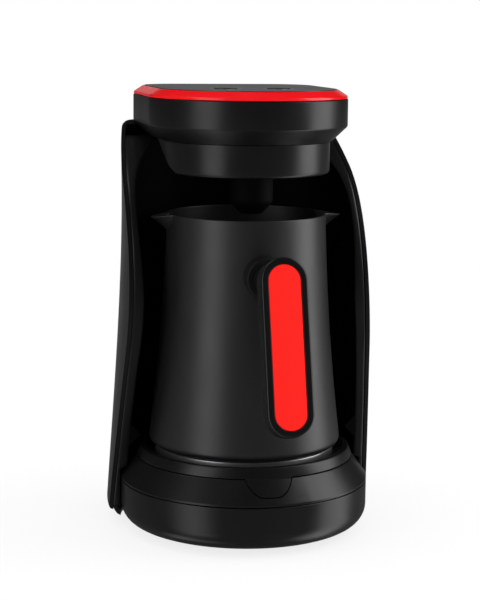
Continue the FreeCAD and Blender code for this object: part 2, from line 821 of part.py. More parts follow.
def coil_shape():
    """The spring, bent from short straight lengths with mitred joints."""
    wire = dim.spring_wire_radius.value
    radius = dim.spring_radius.value
    height = dim.spring_height.value - 2 * wire - 2 * dim.fit_gap.value
    count = int(dim.spring_turns.value) * STEPS_IN_TURN
    points = []
    for step in range(count + 1):
        angle = 2 * math.pi * step / STEPS_IN_TURN
        points.append(FreeCAD.Vector(radius * math.cos(angle), radius * math.sin(angle), height * step / count))
    along = (points[1] - points[0]).normalize()
    outward = FreeCAD.Vector(1, 0, 0)
    outward = (outward - along * outward.dot(along)).normalize()
    upward = along.cross(outward)
    ring = []
    for side in range(WIRE_SIDES):
        angle = 2 * math.pi * side / WIRE_SIDES
        ring.append(points[0] + outward * (wire * math.cos(angle)) + upward * (wire * math.sin(angle)))
    path = Part.makePolygon(points)
    mitred = 1
    return path.makePipeShell([Part.makePolygon(ring + ring[:1])], True, True, mitred)


# Pot
def spout_shape(side, inset):
    """A beak from a point on the pot's side to a rounded triangle at the rim."""
    rim = pot_rim.value
    root = dim.pot_rim_radius.value - dim.spout_root.value
    tip = dim.spout_reach.value - inset * 2
    half = dim.spout_half_width.value - inset
    nib = dim.spout_tip_width.value - inset * HALF
    before_tip = tip - nib
    slope = dim.spout_dip.value / (tip - root)

    def corner(x, y):
        return FreeCAD.Vector(side * x, y, rim - slope * (x - root) + inset)

    top = Part.Wire([
        Part.LineSegment(corner(root, -half), corner(before_tip, -nib)).toShape(),
        Part.Arc(corner(before_tip, -nib), corner(tip, 0), corner(before_tip, nib)).toShape(),
        Part.LineSegment(corner(before_tip, nib), corner(root, half)).toShape(),
        Part.LineSegment(corner(root, half), corner(root, -half)).toShape(),
    ])
    depth = dim.spout_depth.value - inset
    below = Part.Vertex(FreeCAD.Vector(side * (root + dim.pot_wall.value - inset), 0, rim - depth))
    return Part.makeLoft([below, top], True, True)


def pot_outline(inset, floor, top):
    """Half section of the pot's outside, or of its hollow where inset is its wall."""
    corner = dim.pot_corner
    radius = dim.pot_bottom_radius - inset
    return [
        (ZERO, floor),
        (radius - corner, floor),
        (radius, floor + corner, corner, "left"),
        (dim.pot_rim_radius - inset, top, dim.pot_flare_radius, "right"),
        (ZERO, top),
    ]


def build_pot():
    outside = turned("pot_outside", pot_outline(ZERO, pot_bottom, pot_rim))
    hollow = turned("pot_hollow", pot_outline(dim.pot_wall, pot_bottom + dim.pot_floor, pot_rim + dim.fit_gap))
    wall = dim.pot_wall.value
    beaks = [coded("spout_%d" % (side + 1), spout_shape(side, 0.0)) for side in (-1, 1)]
    throats = [coded("throat_%d" % (side + 1), spout_shape(side, wall)) for side in (-1, 1)]
    body = fuse("pot_body", [outside] + beaks)
    space = fuse("pot_space", [hollow] + throats)
    keep(cut("pot", body, space), "pot_shell")


def along_front(label, radius, from_axis, to_axis, level):
    """A round bar that points out of the pot's front."""
    bar = doc.addObject("Part::Cylinder", label)
    length = to_axis - from_axis
    bar.Placement = FreeCAD.Placement(FreeCAD.Vector(), FreeCAD.Rotation(FreeCAD.Vector(1, 0, 0), 90))
    bar.setExpression("Radius", radius.text)
    bar.setExpression("Height", length.text)
    bar.setExpression("Placement.Base.y", (-from_axis).text)
    bar.setExpression("Placement.Base.z", level.text)
    return bar


def grip_placement():
    turn = FreeCAD.Rotation(FreeCAD.Vector(1, 0, 0), -dim.grip_tilt.value)
    return FreeCAD.Placement(FreeCAD.Vector(0, -dim.grip_reach.value, grip_level.value), turn)


def build_handle():
    gap = dim.fit_gap
    seat = turned("pot_clearance", pot_outline(-gap, pot_bottom - gap, pot_rim))
    bore = dim.stud_radius + dim.screw_clearance
    stud_start = dim.pot_rim_radius
    stud_end = dim.boss_reach + dim.stud_length
    boss_bar = along_front("boss_bar", dim.boss_radius, stud_start, dim.boss_reach, boss_level)
    stud_bore = along_front("stud_bore", bore, stud_start - gap, stud_end + gap, boss_level)
    boss_ring = cut("boss_ring", boss_bar, seat)
    keep(cut("boss", boss_ring, stud_bore), "handle_boss")
    stud_bar = along_front("stud_bar", dim.stud_radius, stud_start, stud_end, boss_level)
    keep(cut("stud", stud_bar, seat), "handle_stud")
    far_end = dim.grip_reach + dim.grip_width
    stem_bar = along_front("stem_bar", dim.stem_radius, dim.boss_reach + gap, far_end, boss_level)
    reach = dim.grip_length
    clear = doc.addObject("Part::Box", "grip_clearance")
    clear.Length = reach.value
    clear.Width = reach.value
    clear.Height = reach.value * 2
    clear.Placement = grip_placement().multiply(FreeCAD.Placement(
        FreeCAD.Vector(-reach.value / 2, gap.value - reach.value, -reach.value), FreeCAD.Rotation()))
    stem_end = cut("stem_end", stem_bar, clear)
    keep(cut("stem", stem_end, stud_bore), "handle_stem")

    back = slab("grip_back_blank", stadium(dim.grip_width, dim.grip_length), dim.grip_back, ZERO, "XZ_Plane")
    doc.recompute()
    blank = back.Tip
    rounding = back.newObject("PartDesign::Fillet", "grip_rounding")
    faces = []
    for index, face in enumerate(blank.Shape.Faces, start=1):
        if face.BoundBox.YLength < gap.value and abs(face.BoundBox.YMax) < gap.value:
            faces.append("Face%d" % index)
    rounding.Base = (blank, faces)
    rounding.Radius = dim.grip_rounding.value
    rounding.setExpression("Radius", dim.grip_rounding.text)
    front = slab("grip_front_blank", stadium(dim.grip_width, dim.grip_length), dim.grip_front,
                 dim.grip_back + gap * HALF, "XZ_Plane")
    margin = dim.inlay_margin * 2
    recess_start = dim.grip_back + gap * HALF + dim.grip_front - dim.inlay_depth
    recess = slab("inlay_recess", stadium(dim.grip_width - margin, dim.grip_length - margin),
                  dim.inlay_depth + gap, recess_start, "XZ_Plane")
    inlay_width = dim.grip_width - margin - gap
    inlay_length = dim.grip_length - margin - gap
    inlay = slab("inlay", stadium(inlay_width, inlay_length), dim.inlay_depth - gap, recess_start + gap * HALF,
                 "XZ_Plane")
    screw = screw_shape()
    screw.rotate(FreeCAD.Vector(), FreeCAD.Vector(1, 0, 0), 90)
    hole_depth = dim.screw_head_height + dim.screw_length + gap
    hole = screw_hole("handle_screw_hole", ZERO, hole_depth)
    doc.recompute()
    hole_shape = hole.Shape.copy()
    hole_shape.rotate(FreeCAD.Vector(), FreeCAD.Vector(1, 0, 0), 90)
    spots = [at(ZERO, ZERO, -dim.lower_screw_drop), at(ZERO, ZERO, dim.upper_screw_height)]
    holes = coded("handle_screw_holes", copies(hole_shape, spots))
    pieces = [
        (cut("grip_back", back, holes), "grip_back_half"),
        (cut("grip_front", cut("grip_frame", front, recess), holes), "grip_front_half"),
        (inlay, "grip_inlay"),
        (coded("handle_screw_set", copies(screw, spots)), "handle_screws"),
    ]
    for piece, label in pieces:
        piece.Placement = grip_placement()
        keep(piece, label)


# Rear shell, arms and bay
def build_rear_shell():
    wall = dim.shell_wall.value
    gap = dim.fit_gap.value
    flare = dim.head_flare
    head_room = head_block([(flare - dim.fit_gap, head_bottom), (-dim.fit_gap, band_bottom)])
    skin = shell_block(0.0).cut(shell_block(wall)).cut(head_room).common(behind_arm_edge(0.0))
    half = dim.back_panel_half_width.value
    tall = 2 * BEYOND + shell_top.value
    panel_block = Part.makeBox(2 * half - gap, BEYOND, tall)
    panel_block.translate(FreeCAD.Vector(gap * HALF - half, 0, 0))
    side_block = Part.makeBox(BEYOND, 2 * BEYOND, tall)
    for side, label in ((-1, "side_cover_left"), (1, "side_cover_right")):
        left = half + gap * HALF if side > 0 else -half - gap * HALF - BEYOND
        block = side_block.copy()
        block.translate(FreeCAD.Vector(left, -BEYOND, 0))
        keep(coded(label, skin.common(block)), label)
    panel = skin.common(panel_block)
    stand = dim.power_board_stand.value
    inner_face = dim.shell_depth.value - wall
    post = Part.makeCylinder(dim.board_post_radius.value, stand)
    post.rotate(FreeCAD.Vector(), FreeCAD.Vector(1, 0, 0), 90)
    hole = Part.makeCylinder(dim.gland_neck_radius.value + gap, BEYOND)
    hole.rotate(FreeCAD.Vector(), FreeCAD.Vector(1, 0, 0), -90)
    hole.translate(at(ZERO, ZERO, dim.gland_height))
    for spot in power_board_corners():
        bar = post.copy()
        bar.translate(spot + FreeCAD.Vector(0, inner_face + TINY_STEP, 0))
        panel = panel.fuse(bar)
    keep(coded("rear_panel_skin", panel.cut(hole)), "rear_panel")


def power_board_corners():
    """The power board's four posts, seen from the front."""
    inset = dim.board_post_radius.value * 2
    side = dim.power_board_width.value / 2 - inset
    low = dim.power_board_bottom.value + inset
    high = dim.power_board_bottom.value + dim.power_board_height.value - inset
    return [FreeCAD.Vector(x, 0, z) for x in (-side, side) for z in (low, high)]


def floor_block(wall):
    """The floor's outer form, or its inside where wall is its thickness."""
    half = shell_foot_half_width.value
    back = dim.shell_depth.value
    outermost = dim.shell_wall.value + dim.fit_gap.value * 2
    rounding = dim.shell_floor_rounding.value
    top = shell_floor_top.value
    wires = []
    for step in range(SHOULDER_STEPS + 1):
        angle = math.pi / 2 * step / SHOULDER_STEPS
        inset = outermost + rounding - (rounding - wall) * math.cos(angle)
        wires.append(shell_plan(half, back, inset, top - (rounding - wall) * math.sin(angle)))
    block = Part.makeLoft(wires, True, True)
    if wall:
        mouth = Part.Face(shell_plan(half, back, outermost + wall, top))
        block = block.fuse(mouth.extrude(FreeCAD.Vector(0, 0, wall)))
    return block


def build_shell_floor():
    """Closes the rear shell round the back of the bowl, with a rounded underside."""
    gap = dim.fit_gap.value
    tray = floor_block(0.0).cut(floor_block(dim.shell_wall.value))
    bowl_space = Part.makeCylinder(dim.base_radius.value + gap, BEYOND)
    keep(coded("shell_floor_tray", tray.cut(bowl_space).common(behind_arm_edge(gap))), "shell_floor")


def build_liner():
    """The wall behind the pot, its ledge and the two front lips."""
    wall = dim.liner_wall.value
    top = neck_top.value
    radius = dim.liner_radius.value
    taper_top = dim.liner_taper_top.value
    foot_radius = dim.liner_foot_radius.value
    foot = cone_bottom.value + dim.cone_land.value
    slope = (dim.base_radius.value - dim.cone_top_radius.value) / (dim.cone_height.value - dim.cone_land.value)
    lift = dim.seam.value
    inner_foot = foot + (dim.base_radius.value - foot_radius) / slope + lift
    outer_foot = foot + (dim.base_radius.value - foot_radius - wall) / slope + lift
    ledge_low = inner_foot + dim.liner_foot_land.value
    ledge_tip = ledge_low + dim.ledge_half_height.value
    ledge_high = ledge_tip + dim.ledge_half_height.value

    def inner_at(level):
        share = (taper_top - level) / (taper_top - inner_foot)
        return radius + (foot_radius - radius) * share

    points = [
        (foot_radius, inner_foot),
        (foot_radius + wall, outer_foot),
        (inner_at(ledge_low) + wall, ledge_low),
        (radius + wall, taper_top),
        (radius + wall, top),
        (radius, top),
        (radius, taper_top),
        (inner_at(ledge_high), ledge_high),
        (inner_at(ledge_tip) - dim.ledge_reach.value, ledge_tip),
        (inner_at(ledge_low), ledge_low),
    ]
    corners = [FreeCAD.Vector(across, 0, level) for across, level in points]
    section = Part.Face(Part.makePolygon(corners + corners[:1]))
    wall_ring = section.revolve(FreeCAD.Vector(), FreeCAD.Vector(0, 0, 1), WHOLE_TURN)
    clear_of_base = dim.base_radius.value + dim.fit_gap.value
    hollow_corners = [
        FreeCAD.Vector(),
        FreeCAD.Vector(clear_of_base, 0, 0),
        FreeCAD.Vector(clear_of_base, 0, foot + lift),
        FreeCAD.Vector(foot_radius, 0, inner_foot),
        FreeCAD.Vector(radius, 0, taper_top),
        FreeCAD.Vector(radius, 0, top + wall),
        FreeCAD.Vector(0, 0, top + wall),
    ]
    hollow_face = Part.Face(Part.makePolygon(hollow_corners + hollow_corners[:1]))
    hollow = hollow_face.revolve(FreeCAD.Vector(), FreeCAD.Vector(0, 0, 1), WHOLE_TURN)
    inside = shell_block(dim.shell_wall.value + dim.fit_gap.value)
    lip_block = behind_arm_edge(0.0).cut(behind_arm_edge(dim.lip_depth.value))
    lip_bottom = shell_floor_top.value + dim.fit_gap.value
    lip_span = Part.makeBox(2 * BEYOND, 2 * BEYOND, top - lip_bottom)
    lip_span.translate(FreeCAD.Vector(-BEYOND, -BEYOND, lip_bottom))
    front_lips = inside.common(lip_block).common(lip_span).cut(hollow)
    liner = wall_ring.common(behind_arm_edge(0.0)).fuse(front_lips).removeSplitter()
    keep(coded("liner", liner), "bay_liner")


def build_rear_column():
    gap = dim.fit_gap.value
    inner_face = dim.shell_depth.value - dim.shell_wall.value
    board_back = inner_face - dim.power_board_stand.value - gap
    thickness = dim.board_thickness.value
    width = dim.power_board_width.value
    board = Part.makeBox(width, thickness, dim.power_board_height.value)
    board.translate(FreeCAD.Vector(-width / 2, board_back - thickness, dim.power_board_bottom.value))
    keep(coded("power_board_plate", board), "power_board")
    relay = box("relay_block", dim.relay_width, dim.relay_depth, dim.relay_height,
                dim.relay_width * -HALF,
                dim.shell_depth - dim.shell_wall - dim.power_board_stand - dim.board_thickness
                - dim.relay_depth - dim.fit_gap * 2,
                dim.power_board_bottom + dim.power_board_height * HALF)
    keep(relay, "relay")


def build_gland():
    """The cord's grommet in the rear panel, without a cord."""
    wall = dim.shell_wall
    gap = dim.fit_gap
    flange = dim.gland_radius
    neck = dim.gland_neck_radius
    bore = dim.gland_bore
    inside = dim.gland_flange
    inner_end = dim.shell_depth - wall - gap - inside
    gland = turned("gland", [
        (bore, inner_end),
        (flange, inner_end),
        (flange, inner_end + inside),
        (neck, inner_end + inside),
        (neck, dim.shell_depth + gap),
        (flange, dim.shell_depth + gap),
        (flange - dim.gland_softening, dim.shell_depth + gap + dim.gland_flange),
        (bore, dim.shell_depth + gap + dim.gland_flange),
    ])
    turn = FreeCAD.Rotation(FreeCAD.Vector(1, 0, 0), -90)
    gland.Placement = FreeCAD.Placement(at(ZERO, ZERO, dim.gland_height), turn)
    keep(gland, "cord_gland")


# Head
def chin_block(inset):
    """The chin's outside, or its inside where inset is its wall. Half round in front, with straight sides."""
    radius = dim.neck_radius.value - inset
    bottom = neck_bottom.value + inset
    top = neck_top.value + (TINY_STEP if inset else 0.0)
    front = FreeCAD.Vector(0, -radius, bottom)
    left, right = [FreeCAD.Vector(x, 0, bottom) for x in (-radius, radius)]
    left_back, right_back = [FreeCAD.Vector(x, radius, bottom) for x in (-radius, radius)]
    plan = Part.Wire([
        Part.Arc(left, front, right).toShape(),
        Part.LineSegment(right, right_back).toShape(),
        Part.LineSegment(right_back, left_back).toShape(),
        Part.LineSegment(left_back, left).toShape(),
    ])
    block = Part.Face(plan).extrude(FreeCAD.Vector(0, 0, top - bottom))
    if not inset:
        edges = [edge for edge in block.Edges if abs(edge.BoundBox.ZMax - bottom) < TINY_STEP]
        block = block.makeFillet(dim.neck_rounding.value, edges)
    cutter = Part.makeBox(2 * BEYOND, 2 * BEYOND, BEYOND)
    cutter.translate(FreeCAD.Vector(-BEYOND, 0, -BEYOND))
    cutter.rotate(FreeCAD.Vector(), FreeCAD.Vector(1, 0, 0), dim.neck_slope.value)
    cutter.translate(FreeCAD.Vector(0, -dim.neck_flat_back.value, bottom))
    return block.cut(cutter)


def build_chin():
    shell = chin_block(0.0).cut(chin_block(dim.neck_wall.value))
    keep(coded("chin", shell), "head_chin")


def build_sensor():
    radius = dim.sensor_radius
    tip = pot_rim + dim.sensor_clearance
    lens = dim.sensor_lens_radius + dim.fit_gap
    recess = dim.sensor_lens_thickness + dim.fit_gap * 2
    flat = lens + dim.sensor_bezel
    nose = turned("sensor_nose", [
        (ZERO, tip + recess),
        (lens, tip + recess),
        (lens, tip),
        (flat, tip),
        (radius, tip + dim.sensor_dome, dim.sensor_dome_radius, "left"),
        (radius, neck_top - dim.neck_wall),
        (ZERO, neck_top - dim.neck_wall),
    ])
    nose.setExpression("Placement.Base.y", (-dim.sensor_forward).text)
    doc.recompute()
    room = chin_block(0.0)
    room.translate(FreeCAD.Vector(0, 0, -TINY_STEP * HALF))
    keep(coded("sensor_housing", nose.Shape.cut(room)), "boil_sensor")
    glass = cylinder("sensor_glass", dim.sensor_lens_radius, dim.sensor_lens_thickness, tip + dim.fit_gap)
    glass.setExpression("Placement.Base.y", (-dim.sensor_forward).text)
    keep(glass, "sensor_lens")


def board_post_spots():
    side = dim.control_board_width.value / 2 - dim.board_post_radius.value * 2
    depth = dim.control_board_depth.value / 2 - dim.board_post_radius.value * 2
    return [FreeCAD.Vector(x, y, 0) for x in (-side, side) for y in (-depth, depth)]


def build_head():
    wall = dim.head_wall
    flare = dim.head_flare
    outer = head_block([(flare, head_bottom), (ZERO, band_bottom)])
    outer = outer.fuse(head_block([(ZERO, band_bottom), (ZERO, band_top)]))
    inner = head_block([(flare + wall * HALF, head_bottom + wall), (wall, band_bottom + wall)])
    inner = inner.fuse(head_block([(wall, band_bottom + wall), (wall, band_top + dim.fit_gap)]))
    tub = outer.cut(inner)
    floor = head_bottom + wall
    height = control_board_bottom.value - dim.fit_gap.value - floor.value + TINY_STEP
    post = Part.makeCylinder(dim.board_post_radius.value, height)
    post.translate(FreeCAD.Vector(0, 0, floor.value - TINY_STEP))
    for solid in copies(post, board_post_spots()).Solids:
        tub = tub.fuse(solid)
    keep(coded("head_tub", tub.removeSplitter()), "head_shell")


def build_accent():
    slope = dim.accent_slope
    inner = slope + dim.accent_land
    flange_top = lid_bottom - dim.fit_gap
    outside = head_block([(ZERO, accent_bottom), (slope, accent_top)])
    opening = head_block([(inner, flange_top), (inner, accent_top + dim.fit_gap)])
    through = head_block([(inner + dim.accent_flange, accent_bottom - dim.fit_gap),
                          (inner + dim.accent_flange, flange_top + dim.fit_gap)])
    keep(coded("accent", outside.cut(opening).cut(through)), "accent_ring")


def key_spots():
    half = dim.key_spacing.value / 2
    return [FreeCAD.Vector(x, -dim.key_forward.value, 0) for x in (-half, half)]


def lens_spots():
    half = dim.key_spacing.value / 2
    return [FreeCAD.Vector(x, -dim.lens_forward.value, 0) for x in (-half, half)]


def build_lid():
    inset = dim.accent_slope + dim.accent_land + dim.fit_gap
    plate = head_block([(inset, lid_bottom), (inset, lid_top)])
    tall = BEYOND
    low = FreeCAD.Vector(0, 0, lid_bottom.value - tall / 2)
    key_hole = Part.makeCylinder(dim.key_radius.value + dim.fit_gap.value, tall)
    lens_hole = Part.makeCylinder(dim.lens_radius.value + dim.screw_clearance.value, tall)
    for shape, spots in ((key_hole, key_spots()), (lens_hole, lens_spots())):
        shape.translate(low)
        plate = plate.cut(copies(shape, spots))
    keep(coded("lid", plate), "lid_plate")


def build_keys():
    top = lid_top + dim.key_stand
    flange_top = lid_bottom - dim.fit_gap
    flange_bottom = flange_top - dim.key_flange_height
    tip = control_board_top + dim.switch_height + dim.key_stroke + dim.fit_gap
    soft = dim.key_softening
    for spot, label in zip(key_spots(), ("key_left", "key_right")):
        key = turned(label + "_cap", [
            (ZERO, tip),
            (dim.key_stem_radius, tip),
            (dim.key_stem_radius, flange_bottom),
            (dim.key_radius + dim.key_flange, flange_bottom),
            (dim.key_radius + dim.key_flange, flange_top),
            (dim.key_radius, flange_top),
            (dim.key_radius, top - soft),
            (dim.key_radius - soft, top),
            (ZERO, top),
        ])
        key.Placement = FreeCAD.Placement(spot, FreeCAD.Rotation())
        keep(key, label)


def build_head_electrics():
    board = slab("control_board_blank", oblong(dim.control_board_width, dim.control_board_depth),
                 dim.board_thickness, control_board_bottom)
    keep(board, "control_board")
    size = dim.switch_size.value
    switch = Part.makeBox(size, size, dim.switch_height.value)
    switch.translate(FreeCAD.Vector(-size / 2, -size / 2, control_board_top.value))
    keep(coded("switch_set", copies(switch, key_spots())), "tact_switches")
    buzzer = cylinder("buzzer_can", dim.buzzer_radius, dim.buzzer_height, control_board_top + dim.fit_gap)
    buzzer.setExpression("Placement.Base.y", dim.key_forward.text)
    keep(buzzer, "buzzer")
    pipe = Part.makeCylinder(dim.lens_radius.value, dim.lid_thickness.value * 2)
    pipe.translate(at(ZERO, ZERO, lid_top - dim.lid_thickness * 2))
    keep(coded("lens_set", copies(pipe, lens_spots())), "indicator_lenses")


def centre_footprint():
    """Moves every sub-part so that the machine's footprint is centred on the origin."""
    whole = FreeCAD.BoundBox()
    for node in nodes:
        whole.add(node.Shape.optimalBoundingBox(False))
    shift = FreeCAD.Vector(-whole.Center.x, -whole.Center.y, 0)
    for node in nodes:
        node.setExpression("Placement.Base.y", None)
        node.Placement.Base = node.Placement.Base + shift
    return shift, whole


def check_everything():
    for item in doc.Objects:
        if "Invalid" in item.State or "Error" in item.State:
            raise RuntimeError("failed: " + item.Label)
    for node in nodes:
        if node.Shape.isNull() or not node.Shape.isValid() or not node.Shape.Solids:
            raise RuntimeError("bad shape: " + node.Label)


def write_steps():
    os.makedirs("parts", exist_ok=True)
    for node in nodes:
        node.Shape.exportStep(os.path.join("parts", node.Label + ".step"))


build_bowl()
build_base_screws()
build_feet()
build_cone()
build_seat_ring()
build_heater()
build_plunger()
build_pot()
build_handle()
build_rear_shell()
build_shell_floor()
build_liner()
build_rear_column()
build_gland()
build_chin()
build_sensor()
build_head()
build_accent()
build_lid()
build_keys()
build_head_electrics()
doc.recompute()
check_everything()
moved, extent = centre_footprint()
doc.recompute()
check_everything()
write_steps()
print("sub-parts", len(nodes), "moved by", round(moved.x, 3), round(moved.y, 3))
print("size", round(extent.XLength, 2), round(extent.YLength, 2), round(extent.ZLength, 2))
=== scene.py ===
import bmesh
import bpy
import math
import numpy as np
from mathutils import Matrix, Vector


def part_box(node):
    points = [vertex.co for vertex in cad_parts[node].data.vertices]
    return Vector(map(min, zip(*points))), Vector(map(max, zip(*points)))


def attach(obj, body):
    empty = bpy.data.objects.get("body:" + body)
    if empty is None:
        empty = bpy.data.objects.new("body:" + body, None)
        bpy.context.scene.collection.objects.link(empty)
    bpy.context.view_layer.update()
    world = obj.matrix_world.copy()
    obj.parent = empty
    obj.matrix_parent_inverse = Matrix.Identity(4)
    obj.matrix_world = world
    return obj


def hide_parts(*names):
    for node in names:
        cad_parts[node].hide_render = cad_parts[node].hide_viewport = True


# A small electric coffee maker: heated base, rear shell with two arms, head, and a pot with a drop handle.
# Every piece is worked out in millimetres round the pot's upright axis, with the front towards -Y,
# and is put in metres at its place when its mesh is made.

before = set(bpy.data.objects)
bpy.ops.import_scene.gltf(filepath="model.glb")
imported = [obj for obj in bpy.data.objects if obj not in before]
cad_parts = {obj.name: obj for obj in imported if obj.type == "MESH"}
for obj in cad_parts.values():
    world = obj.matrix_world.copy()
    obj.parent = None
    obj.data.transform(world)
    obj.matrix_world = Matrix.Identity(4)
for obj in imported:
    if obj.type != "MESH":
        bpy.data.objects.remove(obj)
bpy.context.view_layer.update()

mm = 0.001
plateLow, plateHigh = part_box("heater_plate")
axisY = (plateLow.y + plateHigh.y) / 2  # the pot's axis in the row frame, in metres


def lowOf(node):
    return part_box(node)[0].z / mm


def highOf(node):
    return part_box(node)[1].z / mm


def softened(corners, steps=5):
    # Each corner (a, b, radius) gives way to an arc that touches both of its sides.
    # The arc starts radius / tan(half the corner's angle) before the corner.
    places = [np.array(corner[:2], float) for corner in corners]
    parts = []
    for index, corner in enumerate(corners):
        radius = corner[2] if len(corner) > 2 else 0
        here = places[index]
        if radius == 0:
            parts.append(here[None])
            continue
        back = places[index - 1] - here
        ahead = places[(index + 1) % len(places)] - here
        back = back / np.linalg.norm(back)
        ahead = ahead / np.linalg.norm(ahead)
        half = math.acos(np.clip(back @ ahead, -1, 1)) / 2
        inward = (back + ahead) / np.linalg.norm(back + ahead)
        centre = here + inward * radius / math.sin(half)
        start = here + back * radius / math.tan(half) - centre
        end = here + ahead * radius / math.tan(half) - centre
        first = math.atan2(start[1], start[0])
        turn = (math.atan2(end[1], end[0]) - first + math.pi) % (2 * math.pi) - math.pi
        angle = first + turn * np.linspace(0, 1, steps + 1)
        parts.append(centre + radius * np.stack([np.cos(angle), np.sin(angle)], -1))
    return np.concatenate(parts)


def spaced(profile, step):
    # The same line with more points: each stretch is cut into equal lengths no longer than step.
    lengths = np.linalg.norm(np.diff(profile, axis=0), axis=1)
    counts = np.maximum(1, np.ceil(lengths / step)).astype(int)
    starts = np.repeat(np.arange(len(counts)), counts)
    share = np.concatenate([np.arange(count) / count for count in counts])[:, None]
    inner = profile[starts] * (1 - share) + profile[starts + 1] * share
    return np.concatenate([inner, profile[-1:]])


def revolved(profile, columns=256):
    # x = radius * sin(turn), y = -radius * cos(turn), z = the profile's height
    turn = np.linspace(0, 2 * math.pi, columns, endpoint=False)[None, :]
    radius = profile[:, 0:1]
    height = np.broadcast_to(profile[:, 1:2], (len(profile), columns))
    return np.stack([radius * np.sin(turn), -radius * np.cos(turn), height], -1)


def thickSheet(outer, inner):
    # A wall between two matching grids, closed along its four edges.
    around = np.concatenate([outer, inner[:, ::-1]], axis=1)
    return [
        (around, False, True),
        (np.stack([outer[0], inner[0]]), False, False),
        (np.stack([outer[-1], inner[-1]]), False, False),
    ]


def mirrored(sheets):
    return [(grid * np.array([-1.0, 1.0, 1.0]), wrapRows, wrapCols) for grid, wrapRows, wrapCols in sheets]


def makePiece(name, sheets, finish, body, nodes=(), sharp=40, bevel=0.0):
    # Each sheet is (grid of points, closed over its rows, closed over its columns).
    places = []
    quads = []
    count = 0
    for grid, wrapRows, wrapCols in sheets:
        rows, cols = grid.shape[:2]
        lastRow = rows if wrapRows else rows - 1
        lastCol = cols if wrapCols else cols - 1
        row, col = np.meshgrid(np.arange(lastRow), np.arange(lastCol), indexing="ij")
        nextRow = (row + 1) % rows
        nextCol = (col + 1) % cols
        ring = [row * cols + col, nextRow * cols + col, nextRow * cols + nextCol, row * cols + nextCol]
        quads.append(count + np.stack(ring, -1).reshape(-1, 4))
        places.append(grid.reshape(-1, 3))
        count += rows * cols
    points = np.concatenate(places) * mm
    points[:, 1] += axisY
    faces = np.concatenate(quads).astype(np.int32)
    mesh = bpy.data.meshes.new(name)
    mesh.vertices.add(len(points))
    mesh.vertices.foreach_set("co", points.astype(np.float32).ravel())
    mesh.loops.add(faces.size)
    mesh.loops.foreach_set("vertex_index", faces.ravel())
    mesh.polygons.add(len(faces))
    mesh.polygons.foreach_set("loop_start", np.arange(0, faces.size, 4, dtype=np.int32))
    mesh.update(calc_edges=True)
    work = bmesh.new()
    work.from_mesh(mesh)
    bmesh.ops.remove_doubles(work, verts=work.verts, dist=0.002 * mm)
    bmesh.ops.dissolve_degenerate(work, edges=work.edges, dist=0.001 * mm)
    bmesh.ops.recalc_face_normals(work, faces=work.faces)
    work.to_mesh(mesh)
    work.free()
    mesh.polygons.foreach_set("use_smooth", np.ones(len(mesh.polygons), bool))
    mesh.materials.append(finish)
    piece = bpy.data.objects.new(name, mesh)
    bpy.context.scene.collection.objects.link(piece)
    if bevel:
        soft = piece.modifiers.new("softEdges", "BEVEL")
        soft.width = bevel * mm
        soft.segments = 3
        soft.limit_method = "ANGLE"
        soft.angle_limit = math.radians(sharp)
        soft.harden_normals = True
    else:
        mesh.set_sharp_from_angle(angle=math.radians(sharp))
    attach(piece, body)
    if nodes:
        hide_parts(*nodes)
    return piece


def hexColour(code):
    # sRGB hex to linear: below 0.04045 the value over 12.92, above it a power of 2.4
    values = np.array([int(code[i:i + 2], 16) for i in (1, 3, 5)]) / 255
    linear = np.where(values <= 0.04045, values / 12.92, ((values + 0.055) / 1.055) ** 2.4)
    return (*[float(v) for v in linear], 1.0)


def addNode(tree, kind, values=None, links=None, **settings):
    node = tree.nodes.new(kind)
    for key, value in settings.items():
        setattr(node, key, value)
    for key, value in (values or {}).items():
        node.inputs[key].default_value = value
    for key, socket in (links or {}).items():
        tree.links.new(socket, node.inputs[key])
    return node


def newFinish(name):
    finish = bpy.data.materials.new(name)
    finish.use_nodes = True
    tree = finish.node_tree
    tree.nodes.clear()
    output = addNode(tree, "ShaderNodeOutputMaterial")
    place = addNode(tree, "ShaderNodeTexCoord").outputs["Object"]
    return finish, tree, output, place


def perMillimetre(size):
    # A noise of scale s has features about 1 / s across, so this gives features of that size in millimetres.
    return 1 / (size * mm)


def surfaceFinish(name, look):
    # Colour and roughness drift in slow patches, and a fine grain lifts the surface.
    finish, tree, output, place = newFinish(name)
    patches = addNode(tree, "ShaderNodeTexNoise",
                      {"Scale": perMillimetre(look["patch"]), "Detail": 4.0}, {"Vector": place})
    grain = addNode(tree, "ShaderNodeTexNoise",
                    {"Scale": perMillimetre(look["grain"]), "Detail": 2.0}, {"Vector": place})
    low, high = look["rough"]
    rough = addNode(tree, "ShaderNodeMapRange",
                    {"From Min": 0.3, "From Max": 0.7, "To Min": low, "To Max": high},
                    {"Value": patches.outputs["Fac"]})
    dark, pale = (hexColour(code) for code in look["colour"])
    tone = addNode(tree, "ShaderNodeMix", {"A": dark, "B": pale}, {"Factor": patches.outputs["Fac"]},
                   data_type="RGBA")
    lift = addNode(tree, "ShaderNodeBump", {"Strength": look["bump"], "Distance": look["depth"] * mm},
                   {"Height": grain.outputs["Fac"]})
    shader = addNode(tree, "ShaderNodeBsdfPrincipled",
                     {"Metallic": look.get("metallic", 0.0), "IOR": look.get("ior", 1.5),
                      "Coat Weight": look.get("coat", 0.0), "Coat Roughness": look.get("coatRough", 0.1),
                      "Specular IOR Level": look.get("specular", 0.5)},
                     {"Base Color": tone.outputs["Result"], "Roughness": rough.outputs["Result"],
                      "Normal": lift.outputs["Normal"]})
    tree.links.new(shader.outputs["BSDF"], output.inputs["Surface"])
    return finish


